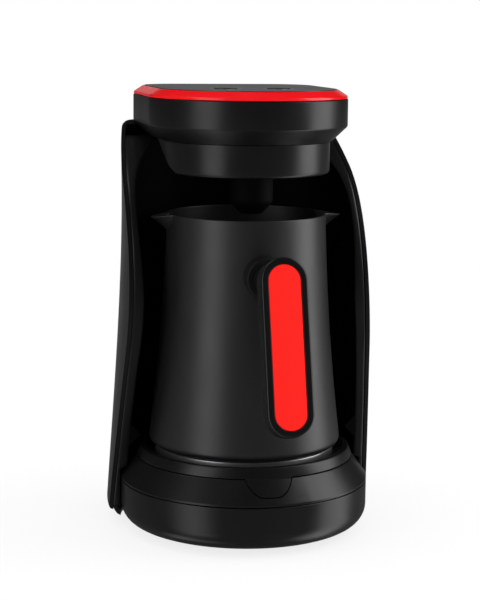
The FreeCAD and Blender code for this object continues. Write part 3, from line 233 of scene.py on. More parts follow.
def turnedFinish(name, look):
    # Rings round the pot's axis, one groove for each turn of the lathe tool.
    finish, tree, output, place = newFinish(name)
    centred = addNode(tree, "ShaderNodeMapping", {"Location": (0.0, -axisY, 0.0)}, {"Vector": place})
    flat = addNode(tree, "ShaderNodeMapping", {"Scale": (1.0, 1.0, 0.0)},
                   {"Vector": centred.outputs["Vector"]})
    rings = addNode(tree, "ShaderNodeTexWave",
                    {"Scale": perMillimetre(look["pitch"]) / 20, "Distortion": 0.4, "Detail": 2.0},
                    {"Vector": flat.outputs["Vector"]}, wave_type="RINGS", rings_direction="SPHERICAL")
    low, high = look["rough"]
    rough = addNode(tree, "ShaderNodeMapRange", {"To Min": low, "To Max": high},
                    {"Value": rings.outputs["Fac"]})
    lift = addNode(tree, "ShaderNodeBump", {"Strength": look["bump"], "Distance": look["depth"] * mm},
                   {"Height": rings.outputs["Fac"]})
    shader = addNode(tree, "ShaderNodeBsdfPrincipled",
                     {"Base Color": hexColour(look["colour"]), "Metallic": 1.0},
                     {"Roughness": rough.outputs["Result"], "Normal": lift.outputs["Normal"]})
    tree.links.new(shader.outputs["BSDF"], output.inputs["Surface"])
    return finish


def boardFinish(name, look):
    # Solder mask over copper: a cell pattern stands for the tracks, and lifts them a little.
    finish, tree, output, place = newFinish(name)
    cells = addNode(tree, "ShaderNodeTexVoronoi", {"Scale": perMillimetre(look["track"])},
                    {"Vector": place}, distance="MANHATTAN", feature="F1")
    step = addNode(tree, "ShaderNodeMapRange", {"From Min": 0.35, "From Max": 0.45},
                   {"Value": cells.outputs["Distance"]})
    tone = addNode(tree, "ShaderNodeMix", {"A": hexColour(look["copper"]), "B": hexColour(look["mask"])},
                   {"Factor": step.outputs["Result"]}, data_type="RGBA")
    lift = addNode(tree, "ShaderNodeBump", {"Strength": look["bump"], "Distance": look["depth"] * mm},
                   {"Height": step.outputs["Result"]})
    shader = addNode(tree, "ShaderNodeBsdfPrincipled", {"Roughness": look["rough"], "IOR": 1.5},
                     {"Base Color": tone.outputs["Result"], "Normal": lift.outputs["Normal"]})
    tree.links.new(shader.outputs["BSDF"], output.inputs["Surface"])
    return finish


# Smooth black ABS: soft wide reflections with blurred ends, and a faint orange peel.
smoothBlack = surfaceFinish("smoothBlackAbs", {
    "colour": ("#070708", "#0a0a0b"), "rough": (0.30, 0.36), "patch": 18, "grain": 2.4,
    "bump": 0.06, "depth": 0.03, "ior": 1.53})
# Matt black ABS of the bay's wall and the nose, coloured darker than the other black plastic: painted shade
# for the dark bay behind the pot, where little light gets in.
bayShadeBlack = surfaceFinish("paintedShadeBlackAbs", {
    "colour": ("#010101", "#020202"), "rough": (0.62, 0.72), "patch": 14, "grain": 0.8,
    "bump": 0.2, "depth": 0.05, "specular": 0.12})
# Black ABS from a blasted mould: broad dull reflections and a fine even grain.
satinBlack = surfaceFinish("blastedBlackAbs", {
    "colour": ("#050505", "#070707"), "rough": (0.48, 0.6), "patch": 12, "grain": 0.7,
    "bump": 0.25, "depth": 0.05, "specular": 0.35})
# Baked dark coating sprayed on spun metal: satin, with a very fine dry-spray texture.
potCoating = surfaceFinish("bakedDarkCoating", {
    "colour": ("#0b0b0c", "#0e0e0f"), "rough": (0.40, 0.46), "patch": 26, "grain": 1.1,
    "bump": 0.10, "depth": 0.03, "ior": 1.75})
# Polished red ABS: a deep even red with pale soft highlights.
polishedRed = surfaceFinish("polishedRedAbs", {
    "colour": ("#dc0009", "#e4010c"), "rough": (0.18, 0.24), "patch": 15, "grain": 2.0,
    "bump": 0.05, "depth": 0.03, "ior": 1.53})
# Soft-touch red overmould: even colour, hardly any reflection.
softRed = surfaceFinish("softTouchRed", {
    "colour": ("#ff1005", "#ff160a"), "rough": (0.56, 0.66), "patch": 9, "grain": 0.6,
    "bump": 0.18, "depth": 0.04, "specular": 0.2})
# Moulded rubber: dull and a little greyer than the plastic.
footRubber = surfaceFinish("mouldedRubber", {
    "colour": ("#161616", "#1c1c1c"), "rough": (0.7, 0.85), "patch": 6, "grain": 0.5,
    "bump": 0.3, "depth": 0.05, "ior": 1.5})
# Zinc plated steel: pale, with small sharp glints.
platedSteel = surfaceFinish("platedSteel", {
    "colour": ("#b5b8ba", "#c4c6c8"), "rough": (0.24, 0.34), "patch": 4, "grain": 0.5,
    "bump": 0.12, "depth": 0.02, "metallic": 1.0})
# Pressed aluminium sheet: pale and softly blurred.
pressedAluminium = surfaceFinish("pressedAluminium", {
    "colour": ("#b9babc", "#c9cacc"), "rough": (0.32, 0.44), "patch": 9, "grain": 0.8,
    "bump": 0.15, "depth": 0.03, "metallic": 1.0})
# Heater sheath, blued by heat: brownish and dull.
bluedSheath = surfaceFinish("bluedSheath", {
    "colour": ("#5c564f", "#7b6f66"), "rough": (0.4, 0.55), "patch": 7, "grain": 0.6,
    "bump": 0.2, "depth": 0.03, "metallic": 1.0})
# Moulded cases of small electric parts: plain dull black, and a smoother blue.
blackCase = surfaceFinish("blackEpoxyCase", {
    "colour": ("#141414", "#1b1b1b"), "rough": (0.45, 0.6), "patch": 4, "grain": 0.4,
    "bump": 0.2, "depth": 0.03})
blueCase = surfaceFinish("bluePolyesterCase", {
    "colour": ("#1d4fa0", "#2257ac"), "rough": (0.3, 0.4), "patch": 5, "grain": 0.5,
    "bump": 0.12, "depth": 0.03})
# Tinted polycarbonate in front of the sensor: nearly black, with sharp reflections.
tintedWindow = surfaceFinish("tintedPolycarbonate", {
    "colour": ("#0d080c", "#120b10"), "rough": (0.06, 0.09), "patch": 5, "grain": 1.5,
    "bump": 0.03, "depth": 0.02, "ior": 1.58, "coat": 0.4})
# Milky light pipe and the ink of the marks.
milkyAcrylic = surfaceFinish("milkyAcrylic", {
    "colour": ("#c9c9c4", "#d6d6d1"), "rough": (0.12, 0.18), "patch": 3, "grain": 0.9,
    "bump": 0.04, "depth": 0.02, "ior": 1.49})
paleInk = surfaceFinish("paleInk", {
    "colour": ("#8f9091", "#9c9d9e"), "rough": (0.38, 0.48), "patch": 2, "grain": 0.3,
    "bump": 0.1, "depth": 0.01})
# Heater plate faced on a lathe: fine rings that catch the light in turn.
turnedMetal = turnedFinish("turnedAluminium", {
    "colour": "#bdbec0", "pitch": 0.9, "rough": (0.22, 0.36), "bump": 0.3, "depth": 0.02})
# Circuit board: green mask with the tracks showing through.
solderMask = boardFinish("solderMask", {
    "mask": "#0b4a22", "copper": "#14692f", "track": 2.2, "rough": 0.35, "bump": 0.4, "depth": 0.04})
print("finishes made")

cadFinishes = {
    "base_screws": platedSteel, "handle_screws": platedSteel, "handle_stud": platedSteel,
    "plunger_spring": platedSteel, "sensing_plunger": platedSteel, "heater_pan": pressedAluminium,
    "heating_element": bluedSheath, "plunger_guide": satinBlack, "shell_floor": smoothBlack,
    "rear_panel": smoothBlack, "lid_plate": smoothBlack, "control_board": solderMask,
    "power_board": solderMask, "relay": blueCase, "buzzer": blackCase, "tact_switches": blackCase,
    "sensor_lens": tintedWindow, "indicator_lenses": milkyAcrylic,
}
for nodeName, finish in cadFinishes.items():
    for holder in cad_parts[nodeName].material_slots:
        holder.material = finish


bowlSizes = {"height": 27.0, "radius": 75.5, "wall": 2.5, "corner": 12.0, "edge": 0.5}


def makeBowl(size):
    # Half section from the axis out, up the side, back in and down to the axis.
    low = lowOf("base_bowl")
    high = low + size["height"]
    outer, wall = size["radius"], size["wall"]
    section = softened([
        (0, low),
        (outer, low, size["corner"]),
        (outer, high, size["edge"]),
        (outer - wall, high, size["edge"]),
        (outer - wall, low + wall, size["corner"] - wall),
        (0, low + wall),
    ], 10)
    makePiece("bowl", [(revolved(section, 288), False, True)], smoothBlack, "machine", ["base_bowl"])


feetSizes = {"radius": 5.2, "reach": 50.0, "angle": 45.0, "edge": 1.0, "sunk": 0.2}


def makeFeet(size):
    low, high = lowOf("rubber_feet"), highOf("rubber_feet")
    section = softened([
        (0, low),
        (size["radius"], low, size["edge"]),
        (size["radius"], high + size["sunk"]),
        (0, high + size["sunk"]),
    ])
    foot = revolved(section, 48)
    sheets = []
    for angle in (size["angle"], 180 - size["angle"]):
        for side in (-1, 1):
            turn = math.radians(side * angle)
            place = size["reach"] * np.array([math.sin(turn), -math.cos(turn), 0])
            sheets.append((foot + place, False, True))
    makePiece("feet", sheets, footRubber, "machine", ["rubber_feet"])


skirtSizes = {
    "seam": 0.5, "footRadius": 75.5, "topRadius": 66.2, "land": 1.2, "wall": 2.8, "edge": 0.5,
    "tabTop": 31.0, "tabFoot": 18.5, "tabCorner": 5.5, "groove": 0.6, "grooveDepth": 1.8, "tabDrop": 9.3,
    "ringHeight": 5.9, "landEdge": 0.3, "footLip": 3.0, "spacing": 0.8, "outerShare": 0.6, "rowStep": 0.04,
}
skirtFoot = lowOf("base_bowl") + bowlSizes["height"] + skirtSizes["seam"]


def tabHalfWidth(level, size, grow):
    # A wedge whose sides lean in towards its foot, with quarter circles at both lower corners.
    foot = lowOf("seat_ring") - grow
    corner = size["tabCorner"]
    share = np.clip((level - lowOf("seat_ring")) / (size["tabDrop"] + size["ringHeight"] / 2), 0, 1)
    half = size["tabFoot"] / 2 + (size["tabTop"] - size["tabFoot"]) / 2 * share + grow
    sink = np.clip((foot + corner - level) / corner, 0, 1)
    return half - corner * (1 - np.sqrt(1 - sink ** 2))


def makeSkirt(size):
    low, high = skirtFoot, highOf("base_cone")
    foot, top, wall = size["footRadius"], size["topRadius"], size["wall"]
    section = softened([
        (foot, low, size["landEdge"]),
        (foot, low + size["land"], size["landEdge"]),
        (top, high, size["edge"]),
        (top - wall, high),
        (foot - wall - size["footLip"], low + size["land"]),
        (foot - wall - size["footLip"], low),
    ])
    section = spaced(np.concatenate([section, section[:1]]), size["spacing"])[:-1]
    grooveFoot = lowOf("seat_ring") - size["groove"]
    outerFrom = top - size["outerShare"] * wall
    onSlope = section[:, 0] > outerFrom
    # Two close rows give the groove's foot a sharp step.
    edgeLevels = (grooveFoot - size["rowStep"], grooveFoot + size["rowStep"])
    edgeRows = [(np.interp(z, [low + size["land"], high], [foot, top]), z) for z in edgeLevels]
    firstAbove = int(np.argmax(onSlope & (section[:, 1] > grooveFoot)))
    section = np.insert(section, firstAbove, edgeRows, axis=0)
    side = size["tabTop"] / 2
    # Columns crowd together on both sides of the tab's edge.
    crowd = side * np.array([0.97, 0.995, 1.005, 1.03, 1.1, 1.25, 1.5])
    near = np.concatenate([np.linspace(0, side * 0.9, 12), crowd])
    nearTurn = np.arcsin(near / foot)
    restTurn = np.linspace(nearTurn[-1], math.pi, 120)[1:-1]
    right = np.concatenate([nearTurn, restTurn, [math.pi]])
    turn = np.concatenate([right, -right[1:-1][::-1]])
    mark = np.sin(np.clip(np.abs(turn), 0, math.pi / 2)) * foot
    radius = section[:, 0:1]
    level = section[:, 1:2]
    # Sideways the columns near the tab close up with its outline: 0 .. side goes to 0 .. the half width,
    # and the rest of them are spread out to where the even columns begin.
    half = tabHalfWidth(level, size, size["groove"])
    outermost = near[-1]
    reach = outermost * radius / foot
    across = np.where(mark < side, mark / side * half,
                      half + (mark - side) / (outermost - side) * (reach - half))
    inFront = np.abs(turn) < nearTurn[-1] - 1e-6
    angle = np.where(inFront, np.arcsin(np.clip(across / radius, 0, 1)), np.abs(turn)) * np.sign(turn + 1e-12)
    outside = (radius > outerFrom) & (level > grooveFoot)
    groove = outside & (mark[None, :] < side) & inFront[None, :]
    sunk = radius - size["grooveDepth"] * groove
    grid = np.stack([sunk * np.sin(angle), -sunk * np.cos(angle), np.broadcast_to(level, angle.shape)], -1)
    makePiece("skirt", [(grid, True, True)], smoothBlack, "machine", ["base_cone"], sharp=32)


ringSizes = {"footRadius": 66.2, "topRadius": 64.0, "land": 3.2, "slope": 3.3, "floor": 2.3, "inner": 54.7,
             "edge": 0.7, "tabThickness": 2.2, "tabRise": 2.2, "seam": 0.5, "proud": 0.08}


def makeRing(size, skirt):
    high = highOf("seat_ring")
    low = highOf("base_cone") + size["seam"]
    lip = size["topRadius"] - size["land"]
    section = softened([
        (size["footRadius"], low, 0.4),
        (size["topRadius"], high, size["edge"]),
        (lip, high, 0.5),
        (lip - size["slope"], low + size["floor"], 0.6),
        (size["inner"], low + size["floor"], 0.3),
        (size["inner"], low),
    ])
    # The tab's face follows the skirt's slope, and then runs up the ring's own face so that no seam shows.
    level = np.linspace(lowOf("seat_ring"), low + size["tabRise"], 30)
    faceLevels = [skirtFoot + skirt["land"], highOf("base_cone"), low, high]
    faceRadii = [skirt["footRadius"], skirt["topRadius"],
                 size["footRadius"] + size["proud"], size["topRadius"] + size["proud"]]
    slope = np.interp(level, faceLevels, faceRadii)
    half = tabHalfWidth(level, skirt, 0.0)
    across = half[:, None] * np.linspace(-1, 1, 33)[None, :]

    def tabFace(inset):
        radius = (slope - inset)[:, None]
        rows = np.broadcast_to(level[:, None], across.shape)
        return np.stack([across, -np.sqrt(radius ** 2 - across ** 2), rows], -1)

    sheets = [(revolved(section, 288), True, True)] + thickSheet(tabFace(0.0), tabFace(size["tabThickness"]))
    makePiece("seatRing", sheets, smoothBlack, "machine", ["seat_ring"], sharp=30)


plateSizes = {"hole": 6.3, "radius": 54.4, "edge": 0.8}


def makePlate(size):
    low, high = lowOf("heater_plate"), highOf("heater_plate")
    section = softened([
        (size["hole"], low),
        (size["radius"], low),
        (size["radius"], high, size["edge"]),
        (size["hole"], high, 0.3),
    ])
    makePiece("hotPlate", [(revolved(section, 192), True, True)], turnedMetal, "machine", ["heater_plate"])


makeBowl(bowlSizes)
makeFeet(feetSizes)
makeSkirt(skirtSizes)
makeRing(ringSizes, skirtSizes)
makePlate(plateSizes)
print("base made")


potSizes = {
    "bottomRadius": 58.3, "rimRadius": 47.8, "corner": 5.0, "wall": 1.3, "floor": 3.0, "hollow": 1.65,
    "spoutReach": 58.8, "spoutHalfWidth": 10.5, "spoutDepth": 10.5, "spoutDip": 1.6, "spoutTip": 0.22,
    "spoutNarrowing": 0.8, "spoutLift": 1.15, "spoutSoftness": 0.35, "spoutTurn": 0.34,
    "lipRoom": 0.9, "recess": 0.6, "recessRadius": 30.0, "footInner": 32.0, "footOuter": 40.0,
}


def potRadius(level, size):
    # A straight taper, drawn in by a shallow parabola between its ends.
    low = lowOf("pot_shell") + size["corner"]
    share = np.clip((level - low) / (highOf("pot_shell") - low), 0, 1)
    straight = size["bottomRadius"] + (size["rimRadius"] - size["bottomRadius"]) * share
    return straight - 4 * size["hollow"] * share * (1 - share)


def makePot(size):
    low, high = lowOf("pot_shell"), highOf("pot_shell")
    wall, corner = size["wall"], size["corner"]
    side = np.linspace(low + corner, high - size["lipRoom"], 60)
    bend = np.linspace(-math.pi / 2, 0, 12)
    innerBend = bend[::-1]
    lip = np.linspace(0, math.pi, 9)
    recessTop = low + size["recess"]
    section = np.concatenate([
        [(0, recessTop), (size["recessRadius"], recessTop)],
        [(size["footInner"], low), (size["footOuter"], low)],
        np.stack([size["bottomRadius"] - corner + corner * np.cos(bend),
                  low + corner + corner * np.sin(bend)], -1),
        np.stack([potRadius(side, size), side], -1),
        np.stack([potRadius(high, size) - wall / 2 + wall / 2 * np.cos(lip),
                  high - wall / 2 + wall / 2 * np.sin(lip)], -1),
        np.stack([potRadius(side, size) - wall, side], -1)[::-1],
        np.stack([size["bottomRadius"] - wall - corner + corner * np.cos(innerBend),
                  low + size["floor"] + corner + corner * np.sin(innerBend)], -1)[1:],
        [(0, low + size["floor"])],
    ])
    near = np.linspace(0, size["spoutTurn"], 60)
    quarter = np.concatenate([near, np.linspace(size["spoutTurn"], math.pi / 2, 70)[1:]])
    fromSpout = np.concatenate([quarter, (math.pi - quarter[:-1])[::-1]])
    turn = np.concatenate([fromSpout + math.pi / 2, fromSpout[1:-1] + 1.5 * math.pi])
    turn = np.sort(turn % (2 * math.pi))
    radius = section[:, 0:1]
    level = section[:, 1:2]
    across = np.abs(np.cos(turn))[None, :] * radius  # distance from the line through both spouts
    rise = np.clip((level - (high - size["spoutDepth"])) / size["spoutDepth"], 0, 1)
    half = np.maximum(size["spoutHalfWidth"] * rise ** size["spoutNarrowing"], 0.01)
    # A ridge 1 - (sqrt(a^2 + t^2) - t) / (sqrt(1 + t^2) - t), mixed with its own smooth step.
    # Here a is the distance as a share of the half width, and t rounds the tip.
    tip, soft = size["spoutTip"], size["spoutSoftness"]
    away = np.sqrt((across / half) ** 2 + tip ** 2) - tip
    beak = np.clip(1 - away / (math.sqrt(1 + tip ** 2) - tip), 0, 1)
    beak = beak * beak * (3 - 2 * beak) * soft + beak * (1 - soft)
    onWall = radius > size["rimRadius"] * 0.8
    push = beak * rise ** size["spoutLift"] * onWall
    reach = radius + push * (size["spoutReach"] - size["rimRadius"])
    height = level - push * size["spoutDip"]
    grid = np.stack([reach * np.sin(turn), -reach * np.cos(turn), height], -1)
    makePiece("pot", [(grid, False, True)], potCoating, "pot", ["pot_shell"], sharp=60)


handleSizes = {
    "bossRadius": 12.3, "bossReach": 57.0, "stemRadius": 8.6, "gripLength": 100.0, "gripWidth": 26.5,
    "gripBack": 9.0, "gripFront": 4.6, "gripTilt": 15.0, "gripReach": 92.5, "gripRise": 74.4,
    "bossRise": 108.4, "rearEdge": 3.5, "frontEdge": 1.3, "rim": 3.9, "inlayDepth": 2.0, "crown": 0.25,
    "bossFoot": 47.0,
    "softEdge": 0.35, "gap": 0.15, "inlayEdge": 0.6, "inlayBorder": 0.9, "bossEdge": 1.2, "bossGrip": 0.4,
    "stemGap": 0.3, "stemEdge": 0.8, "stemDepth": 6.0,
}


def stadiumRings(rows, size, columns=30):
    # Each row (inset, depth) is a stadium outline: straight sides and half circles about two fixed centres.
    rows = np.array(rows, float)
    half = size["gripWidth"] / 2
    centre = size["gripLength"] / 2 - half
    upper = np.linspace(0, math.pi, columns)
    turn = np.concatenate([upper, upper + math.pi])
    shift = np.repeat([centre, -centre], columns)
    radius = (half - rows[:, 0])[:, None]
    x = radius * np.cos(turn)
    z = radius * np.sin(turn) + shift
    return gripPlace(np.stack([x, np.broadcast_to(rows[:, 1:2], x.shape), z], -1), size)


def gripPlace(grid, size):
    # Depth runs outwards from the grip's rear face; the grip leans by its tilt, lower end out.
    lean = math.radians(size["gripTilt"])
    x, depth, z = grid[..., 0], grid[..., 1], grid[..., 2]
    level = lowOf("pot_shell") + size["gripRise"]
    y = -size["gripReach"] - depth * math.cos(lean) + z * math.sin(lean)
    return np.stack([x, y, level + depth * math.sin(lean) + z * math.cos(lean)], -1)


def makeGrip(size):
    middle = size["gripWidth"] / 2
    back, soft, gap = size["gripBack"], size["softEdge"], size["gap"]
    rear = softened([(middle, 0), (0, 0, size["rearEdge"]), (0, back, soft), (middle, back)], 8)
    makePiece("gripBack", [(stadiumRings(rear, size), False, True)], smoothBlack, "pot", ["grip_back_half"])
    start = back + gap
    end = start + size["gripFront"]
    rim, sink = size["rim"], size["inlayDepth"]
    front = softened([
        (middle, start),
        (0, start, soft),
        (0, end, size["frontEdge"]),
        (rim, end, soft),
        (rim, end - sink, 0.2),
        (middle, end - sink),
    ], 7)
    makePiece("gripRim", [(stadiumRings(front, size), False, True)], smoothBlack, "pot", ["grip_front_half"])
    face = end - gap
    border = rim + size["inlayBorder"]
    inset = np.linspace(border, middle, 12)
    share = (inset - inset[0]) / (middle - inset[0])
    crown = np.stack([inset, face + size["crown"] * (1 - (1 - share) ** 2)], -1)
    bed = end - sink + 0.1
    side = rim + gap
    edge = softened([(middle, bed), (side, bed), (side, face, size["inlayEdge"]), (border, face)], 6)
    inlay = np.concatenate([edge[:-1], crown])
    makePiece("gripInlay", [(stadiumRings(inlay, size), False, True)], softRed, "pot", ["grip_inlay"])


def alongFront(section, columns=72):
    # Radius and reach of the section, carried round a line that points out of the pot's front.
    turn = np.linspace(0, 2 * math.pi, columns, endpoint=False)[None, :]
    radius = section[:, 0:1]
    level = lowOf("pot_shell") + handleSizes["bossRise"]
    depth = np.broadcast_to(section[:, 1:2], (len(section), columns))
    return np.stack([radius * np.cos(turn), -depth, level + radius * np.sin(turn)], -1)


def makeBoss(size, pot):
    # The boss's foot follows the pot: its reach there is the pot's radius, less what curves away.
    section = softened([
        (0.01, size["bossFoot"]),
        (size["bossRadius"], size["bossFoot"]),
        (size["bossRadius"], size["bossReach"], size["bossEdge"]),
        (0.01, size["bossReach"]),
    ])
    grid = alongFront(spaced(section, 4))
    skin = np.sqrt(np.maximum(potRadius(grid[..., 2], pot) ** 2 - grid[..., 0] ** 2, 0)) - size["bossGrip"]
    atFoot = grid[..., 1] > -size["bossFoot"] - 1
    grid[..., 1] = np.where(atFoot, -skin, grid[..., 1])
    makePiece("boss", [(grid, False, True)], satinBlack, "pot", ["handle_boss"])


def makeStem(size):
    start, end = size["bossReach"] + size["stemGap"], size["gripReach"] + size["stemDepth"]
    section = softened([
        (0.01, start),
        (size["stemRadius"], start, size["stemEdge"]),
        (size["stemRadius"], end),
        (0.01, end),
    ])
    grid = alongFront(spaced(section, 3))
    # The far end stops just inside the grip's leaning rear face.
    lean = math.tan(math.radians(size["gripTilt"]))
    level = lowOf("pot_shell") + size["gripRise"]
    face = -size["gripReach"] + (grid[..., 2] - level) * lean - size["bossGrip"]
    grid[..., 1] = np.maximum(grid[..., 1], face)
    makePiece("stem", [(grid, False, True)], smoothBlack, "pot", ["handle_stem"])


makePot(potSizes)
makeGrip(handleSizes)
makeBoss(handleSizes, potSizes)
makeStem(handleSizes)
print("pot and handle made")


shellSizes = {
    "levels": (9.0, 88.0, 160.0), "halfWidths": (82.6, 77.3, 73.7, 73.8), "sideRadius": 240.0, "corner": 32.0,
    "back": 86.0, "wall": 2.4, "shoulder": 4.0, "footEdge": 3.0, "seam": 40.15, "roof": 22.0,
    "foot": (11.5, 9.0), "nose": (-29.3, 178.7), "top": (55.0, 240.0), "noseRadius": 105.0,
}


def edgeAt(level, size, shift=0.0):
    # y of the arms' front edge: a line up to the nose, an arc round it, and a line back up to the head.
    foot, nose, top = (np.array(size[key], float) for key in ("foot", "nose", "top"))
    down = (foot - nose) / np.linalg.norm(foot - nose)
    up = (top - nose) / np.linalg.norm(top - nose)
    half = math.acos(down @ up) / 2
    radius = size["noseRadius"]
    run = radius / math.tan(half)
    inward = (down + up) / np.linalg.norm(down + up)
    centre = nose + inward * radius / math.sin(half)
    lowTouch = nose + down * run
    highTouch = nose + up * run
    onLow = nose[0] + (level - nose[1]) * down[0] / down[1]
    onHigh = nose[0] + (level - nose[1]) * up[0] / up[1]
    onArc = centre[0] - np.sqrt(np.maximum(radius ** 2 - (level - centre[1]) ** 2, 0))
    return shift + np.where(level < lowTouch[1], onLow, np.where(level > highTouch[1], onHigh, onArc))


def halfWidthAt(level, size):
    # A cubic through the four stated widths.
    top = highOf("rear_panel") - size["shoulder"]
    curve = np.polyfit((*size["levels"], top), size["halfWidths"], 3)
    return np.polyval(curve, np.minimum(level, top))


def shellPoint(run, level, inset, size):
    # run is the distance along the plan from where the bowed side meets the rounded corner:
    # negative on the side's arc, positive on the corner's arc.
    side, corner = size["sideRadius"], size["corner"]
    deep = size["back"] - corner
    across = math.sqrt((side - corner) ** 2 - deep ** 2)
    lean = math.atan2(deep, across)
    sideCentre = halfWidthAt(level, size) - side
    onSide = lean + run / side
    onCorner = np.minimum(lean + run / corner, math.pi / 2)
    x = np.where(run < 0, sideCentre + (side - inset) * np.cos(onSide),
                 sideCentre + across + (corner - inset) * np.cos(onCorner))
    y = np.where(run < 0, (side - inset) * np.sin(onSide), deep + (corner - inset) * np.sin(onCorner))
    return np.stack([x, y, np.broadcast_to(level, x.shape)], -1)


def runAtDepth(y, inset, size):
    # The run at which the plan, moved in by inset, reaches the depth y.
    side, corner = size["sideRadius"], size["corner"]
    deep = size["back"] - corner
    lean = math.atan2(deep, math.sqrt((side - corner) ** 2 - deep ** 2))
    onSide = side * (np.arcsin(np.clip(y / (side - inset), -1, 1)) - lean)
    onCorner = corner * (np.arcsin(np.clip((y - deep) / (corner - inset), -1, 1)) - lean)
    return np.where(onSide < 0, onSide, onCorner)


def runAtWidth(x, level, inset, size):
    # The run on the rear corner at which the plan reaches the width x.
    side, corner = size["sideRadius"], size["corner"]
    deep = size["back"] - corner
    across = math.sqrt((side - corner) ** 2 - deep ** 2)
    centre = halfWidthAt(level, size) - side + across
    angle = np.arccos(np.clip((x - centre) / (corner - inset), -1, 1))
    return corner * (angle - math.atan2(deep, across))


def coverFace(rows, size, columns=56):
    # rows holds (level, inset); each row runs from the front edge to the seam beside the rear panel.
    level = rows[:, 0:1]
    inset = rows[:, 1:2]
    first = runAtDepth(edgeAt(level, size), inset, size)
    last = runAtWidth(size["seam"], level, inset, size)
    share = np.linspace(0, 1, columns)[None, :]
    return shellPoint(first + (last - first) * share, level, inset, size)


def shellRows(size, inset):
    # From the rounded foot up the wall, round the shoulder and in over the roof, as (level, inset).
    low, top = size["levels"][0], highOf("rear_panel")
    edge, radius = size["footEdge"], size["shoulder"]
    angle = np.linspace(0, math.pi / 2, 7)
    foot = np.stack([low + edge - (edge - inset) * np.cos(angle), edge - (edge - inset) * np.sin(angle)], -1)
    wallRows = np.linspace(low + edge, top - radius, 110)[1:]
    wall = np.stack([wallRows, np.full(len(wallRows), inset)], -1)
    bend = np.stack([top - radius + (radius - inset) * np.sin(angle[1:]),
                     radius - (radius - inset) * np.cos(angle[1:])], -1)
    roof = np.stack([np.full(5, top - inset), radius + np.linspace(3, size["roof"], 5)], -1)
    return np.concatenate([foot, wall, bend, roof])


def makeCovers(size):
    outer = coverFace(shellRows(size, 0.0), size)
    inner = coverFace(shellRows(size, size["wall"]), size)
    right = thickSheet(outer, inner)
    makePiece("coverRight", right, smoothBlack, "machine", ["side_cover_right"], bevel=0.7)
    makePiece("coverLeft", mirrored(right), smoothBlack, "machine", ["side_cover_left"],
              bevel=0.7)


linerSizes = {
    "radius": 66.4, "taperTop": 142.0, "footRadius": 71.9, "wall": 2.2, "footLand": 14.0,
    "ledgeReach": 6.4, "ledgeHalf": 7.2, "lipDepth": 3.0, "gap": 0.3, "edgeBack": 0.25, "lipBow": 0.5,
}


def linerFoot(size, skirt):
    # The level at which the skirt's slope has narrowed to the liner's foot, and a gap above it.
    share = (skirt["footRadius"] - size["footRadius"]) / (skirt["footRadius"] - skirt["topRadius"])
    low = skirtFoot + skirt["land"]
    return low + share * (highOf("base_cone") - low) + size["gap"]


def linerRadius(level, size, foot):
    share = np.clip((size["taperTop"] - level) / (size["taperTop"] - foot), 0, 1)
    return size["radius"] + (size["footRadius"] - size["radius"]) * share


def makeLiner(size, shell, skirt):
    # The bay's wall is an arc at each height, from the front edge on one side round the back to the other.
    low, high = linerFoot(size, skirt), highOf("bay_liner")
    ledgeLow = low + size["footLand"]
    ledgeTip = ledgeLow + size["ledgeHalf"]
    ledgeLevels = [ledgeLow, ledgeTip, ledgeTip + size["ledgeHalf"]]
    level = np.unique(np.concatenate([np.linspace(low, high, 90), ledgeLevels]))
    ledge = np.interp(level, ledgeLevels, [0, size["ledgeReach"], 0])
    back = linerRadius(level, size, low)
    share = np.linspace(-1, 1, 121)[None, :]

    def face(radius):
        edge = edgeAt(level, shell, size["edgeBack"])
        widest = math.pi / 2 - np.arcsin(np.clip(edge / radius, -1, 1))
        angle = widest[:, None] * share
        return np.stack([radius[:, None] * np.sin(angle), radius[:, None] * np.cos(angle),
                         np.broadcast_to(level[:, None], angle.shape)], -1)

    sheets = thickSheet(face(back - ledge), face(back + size["wall"]))
    # The wall's near-black colour is painted shade.
    makePiece("bayWall", sheets, bayShadeBlack, "machine", ["bay_liner"], sharp=50)
    # Each lip closes the gap between the bay's wall and the cover, along the front edge.
    lipLow = shell["levels"][0] + shell["wall"] + size["gap"]
    lipLevel = np.linspace(lipLow, high, 120)
    radius = np.where(lipLevel < low, skirt["footRadius"] + size["gap"], linerRadius(lipLevel, size, low))

    def lipFace(shift, soft):
        y = edgeAt(lipLevel, shell, shift)
        inset = shell["wall"] + size["gap"]
        outerX = shellPoint(runAtDepth(y, inset, shell), lipLevel, inset, shell)[:, 0]
        innerX = np.sqrt(np.maximum(radius ** 2 - y ** 2, 0))
        across = np.linspace(0, 1, 9)[None, :]
        x = innerX[:, None] + (outerX - innerX)[:, None] * across
        bow = soft * (2 * across - 1) ** 4
        return np.stack([x, y[:, None] + bow, np.broadcast_to(lipLevel[:, None], x.shape)], -1)

    lip = thickSheet(lipFace(0.0, size["lipBow"]), lipFace(size["lipDepth"], 0.0))
    makePiece("lips", lip + mirrored(lip), smoothBlack, "machine", (), bevel=0.4)


glandSizes = {"flange": 8.5, "neck": 5.8, "bore": 3.2, "thickness": 2.0}


def makeGland(size):
    low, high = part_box("cord_gland")
    start, end = (low.y - axisY) / mm, (high.y - axisY) / mm
    section = softened([
        (size["bore"], start),
        (size["flange"], start, 0.4),
        (size["flange"], start + size["thickness"]),
        (size["neck"], start + size["thickness"]),
        (size["neck"], end - size["thickness"]),
        (size["flange"], end - size["thickness"], 0.3),
        (size["flange"], end, 0.9),
        (size["bore"], end, 0.5),
    ])
    turned = revolved(section, 72)
    level = (low.z + high.z) / 2 / mm
    grid = np.stack([turned[..., 0], turned[..., 2], level - turned[..., 1]], -1)
    makePiece("gland", [(grid, True, True)], footRubber, "machine", ["cord_gland"])


makeCovers(shellSizes)
makeLiner(linerSizes, shellSizes, skirtSizes)
makeGland(glandSizes)
print("shell made")


chinSizes = {"radius": 49.6, "edge": 2.4, "flatBack": 16.0, "slope": 22.0}


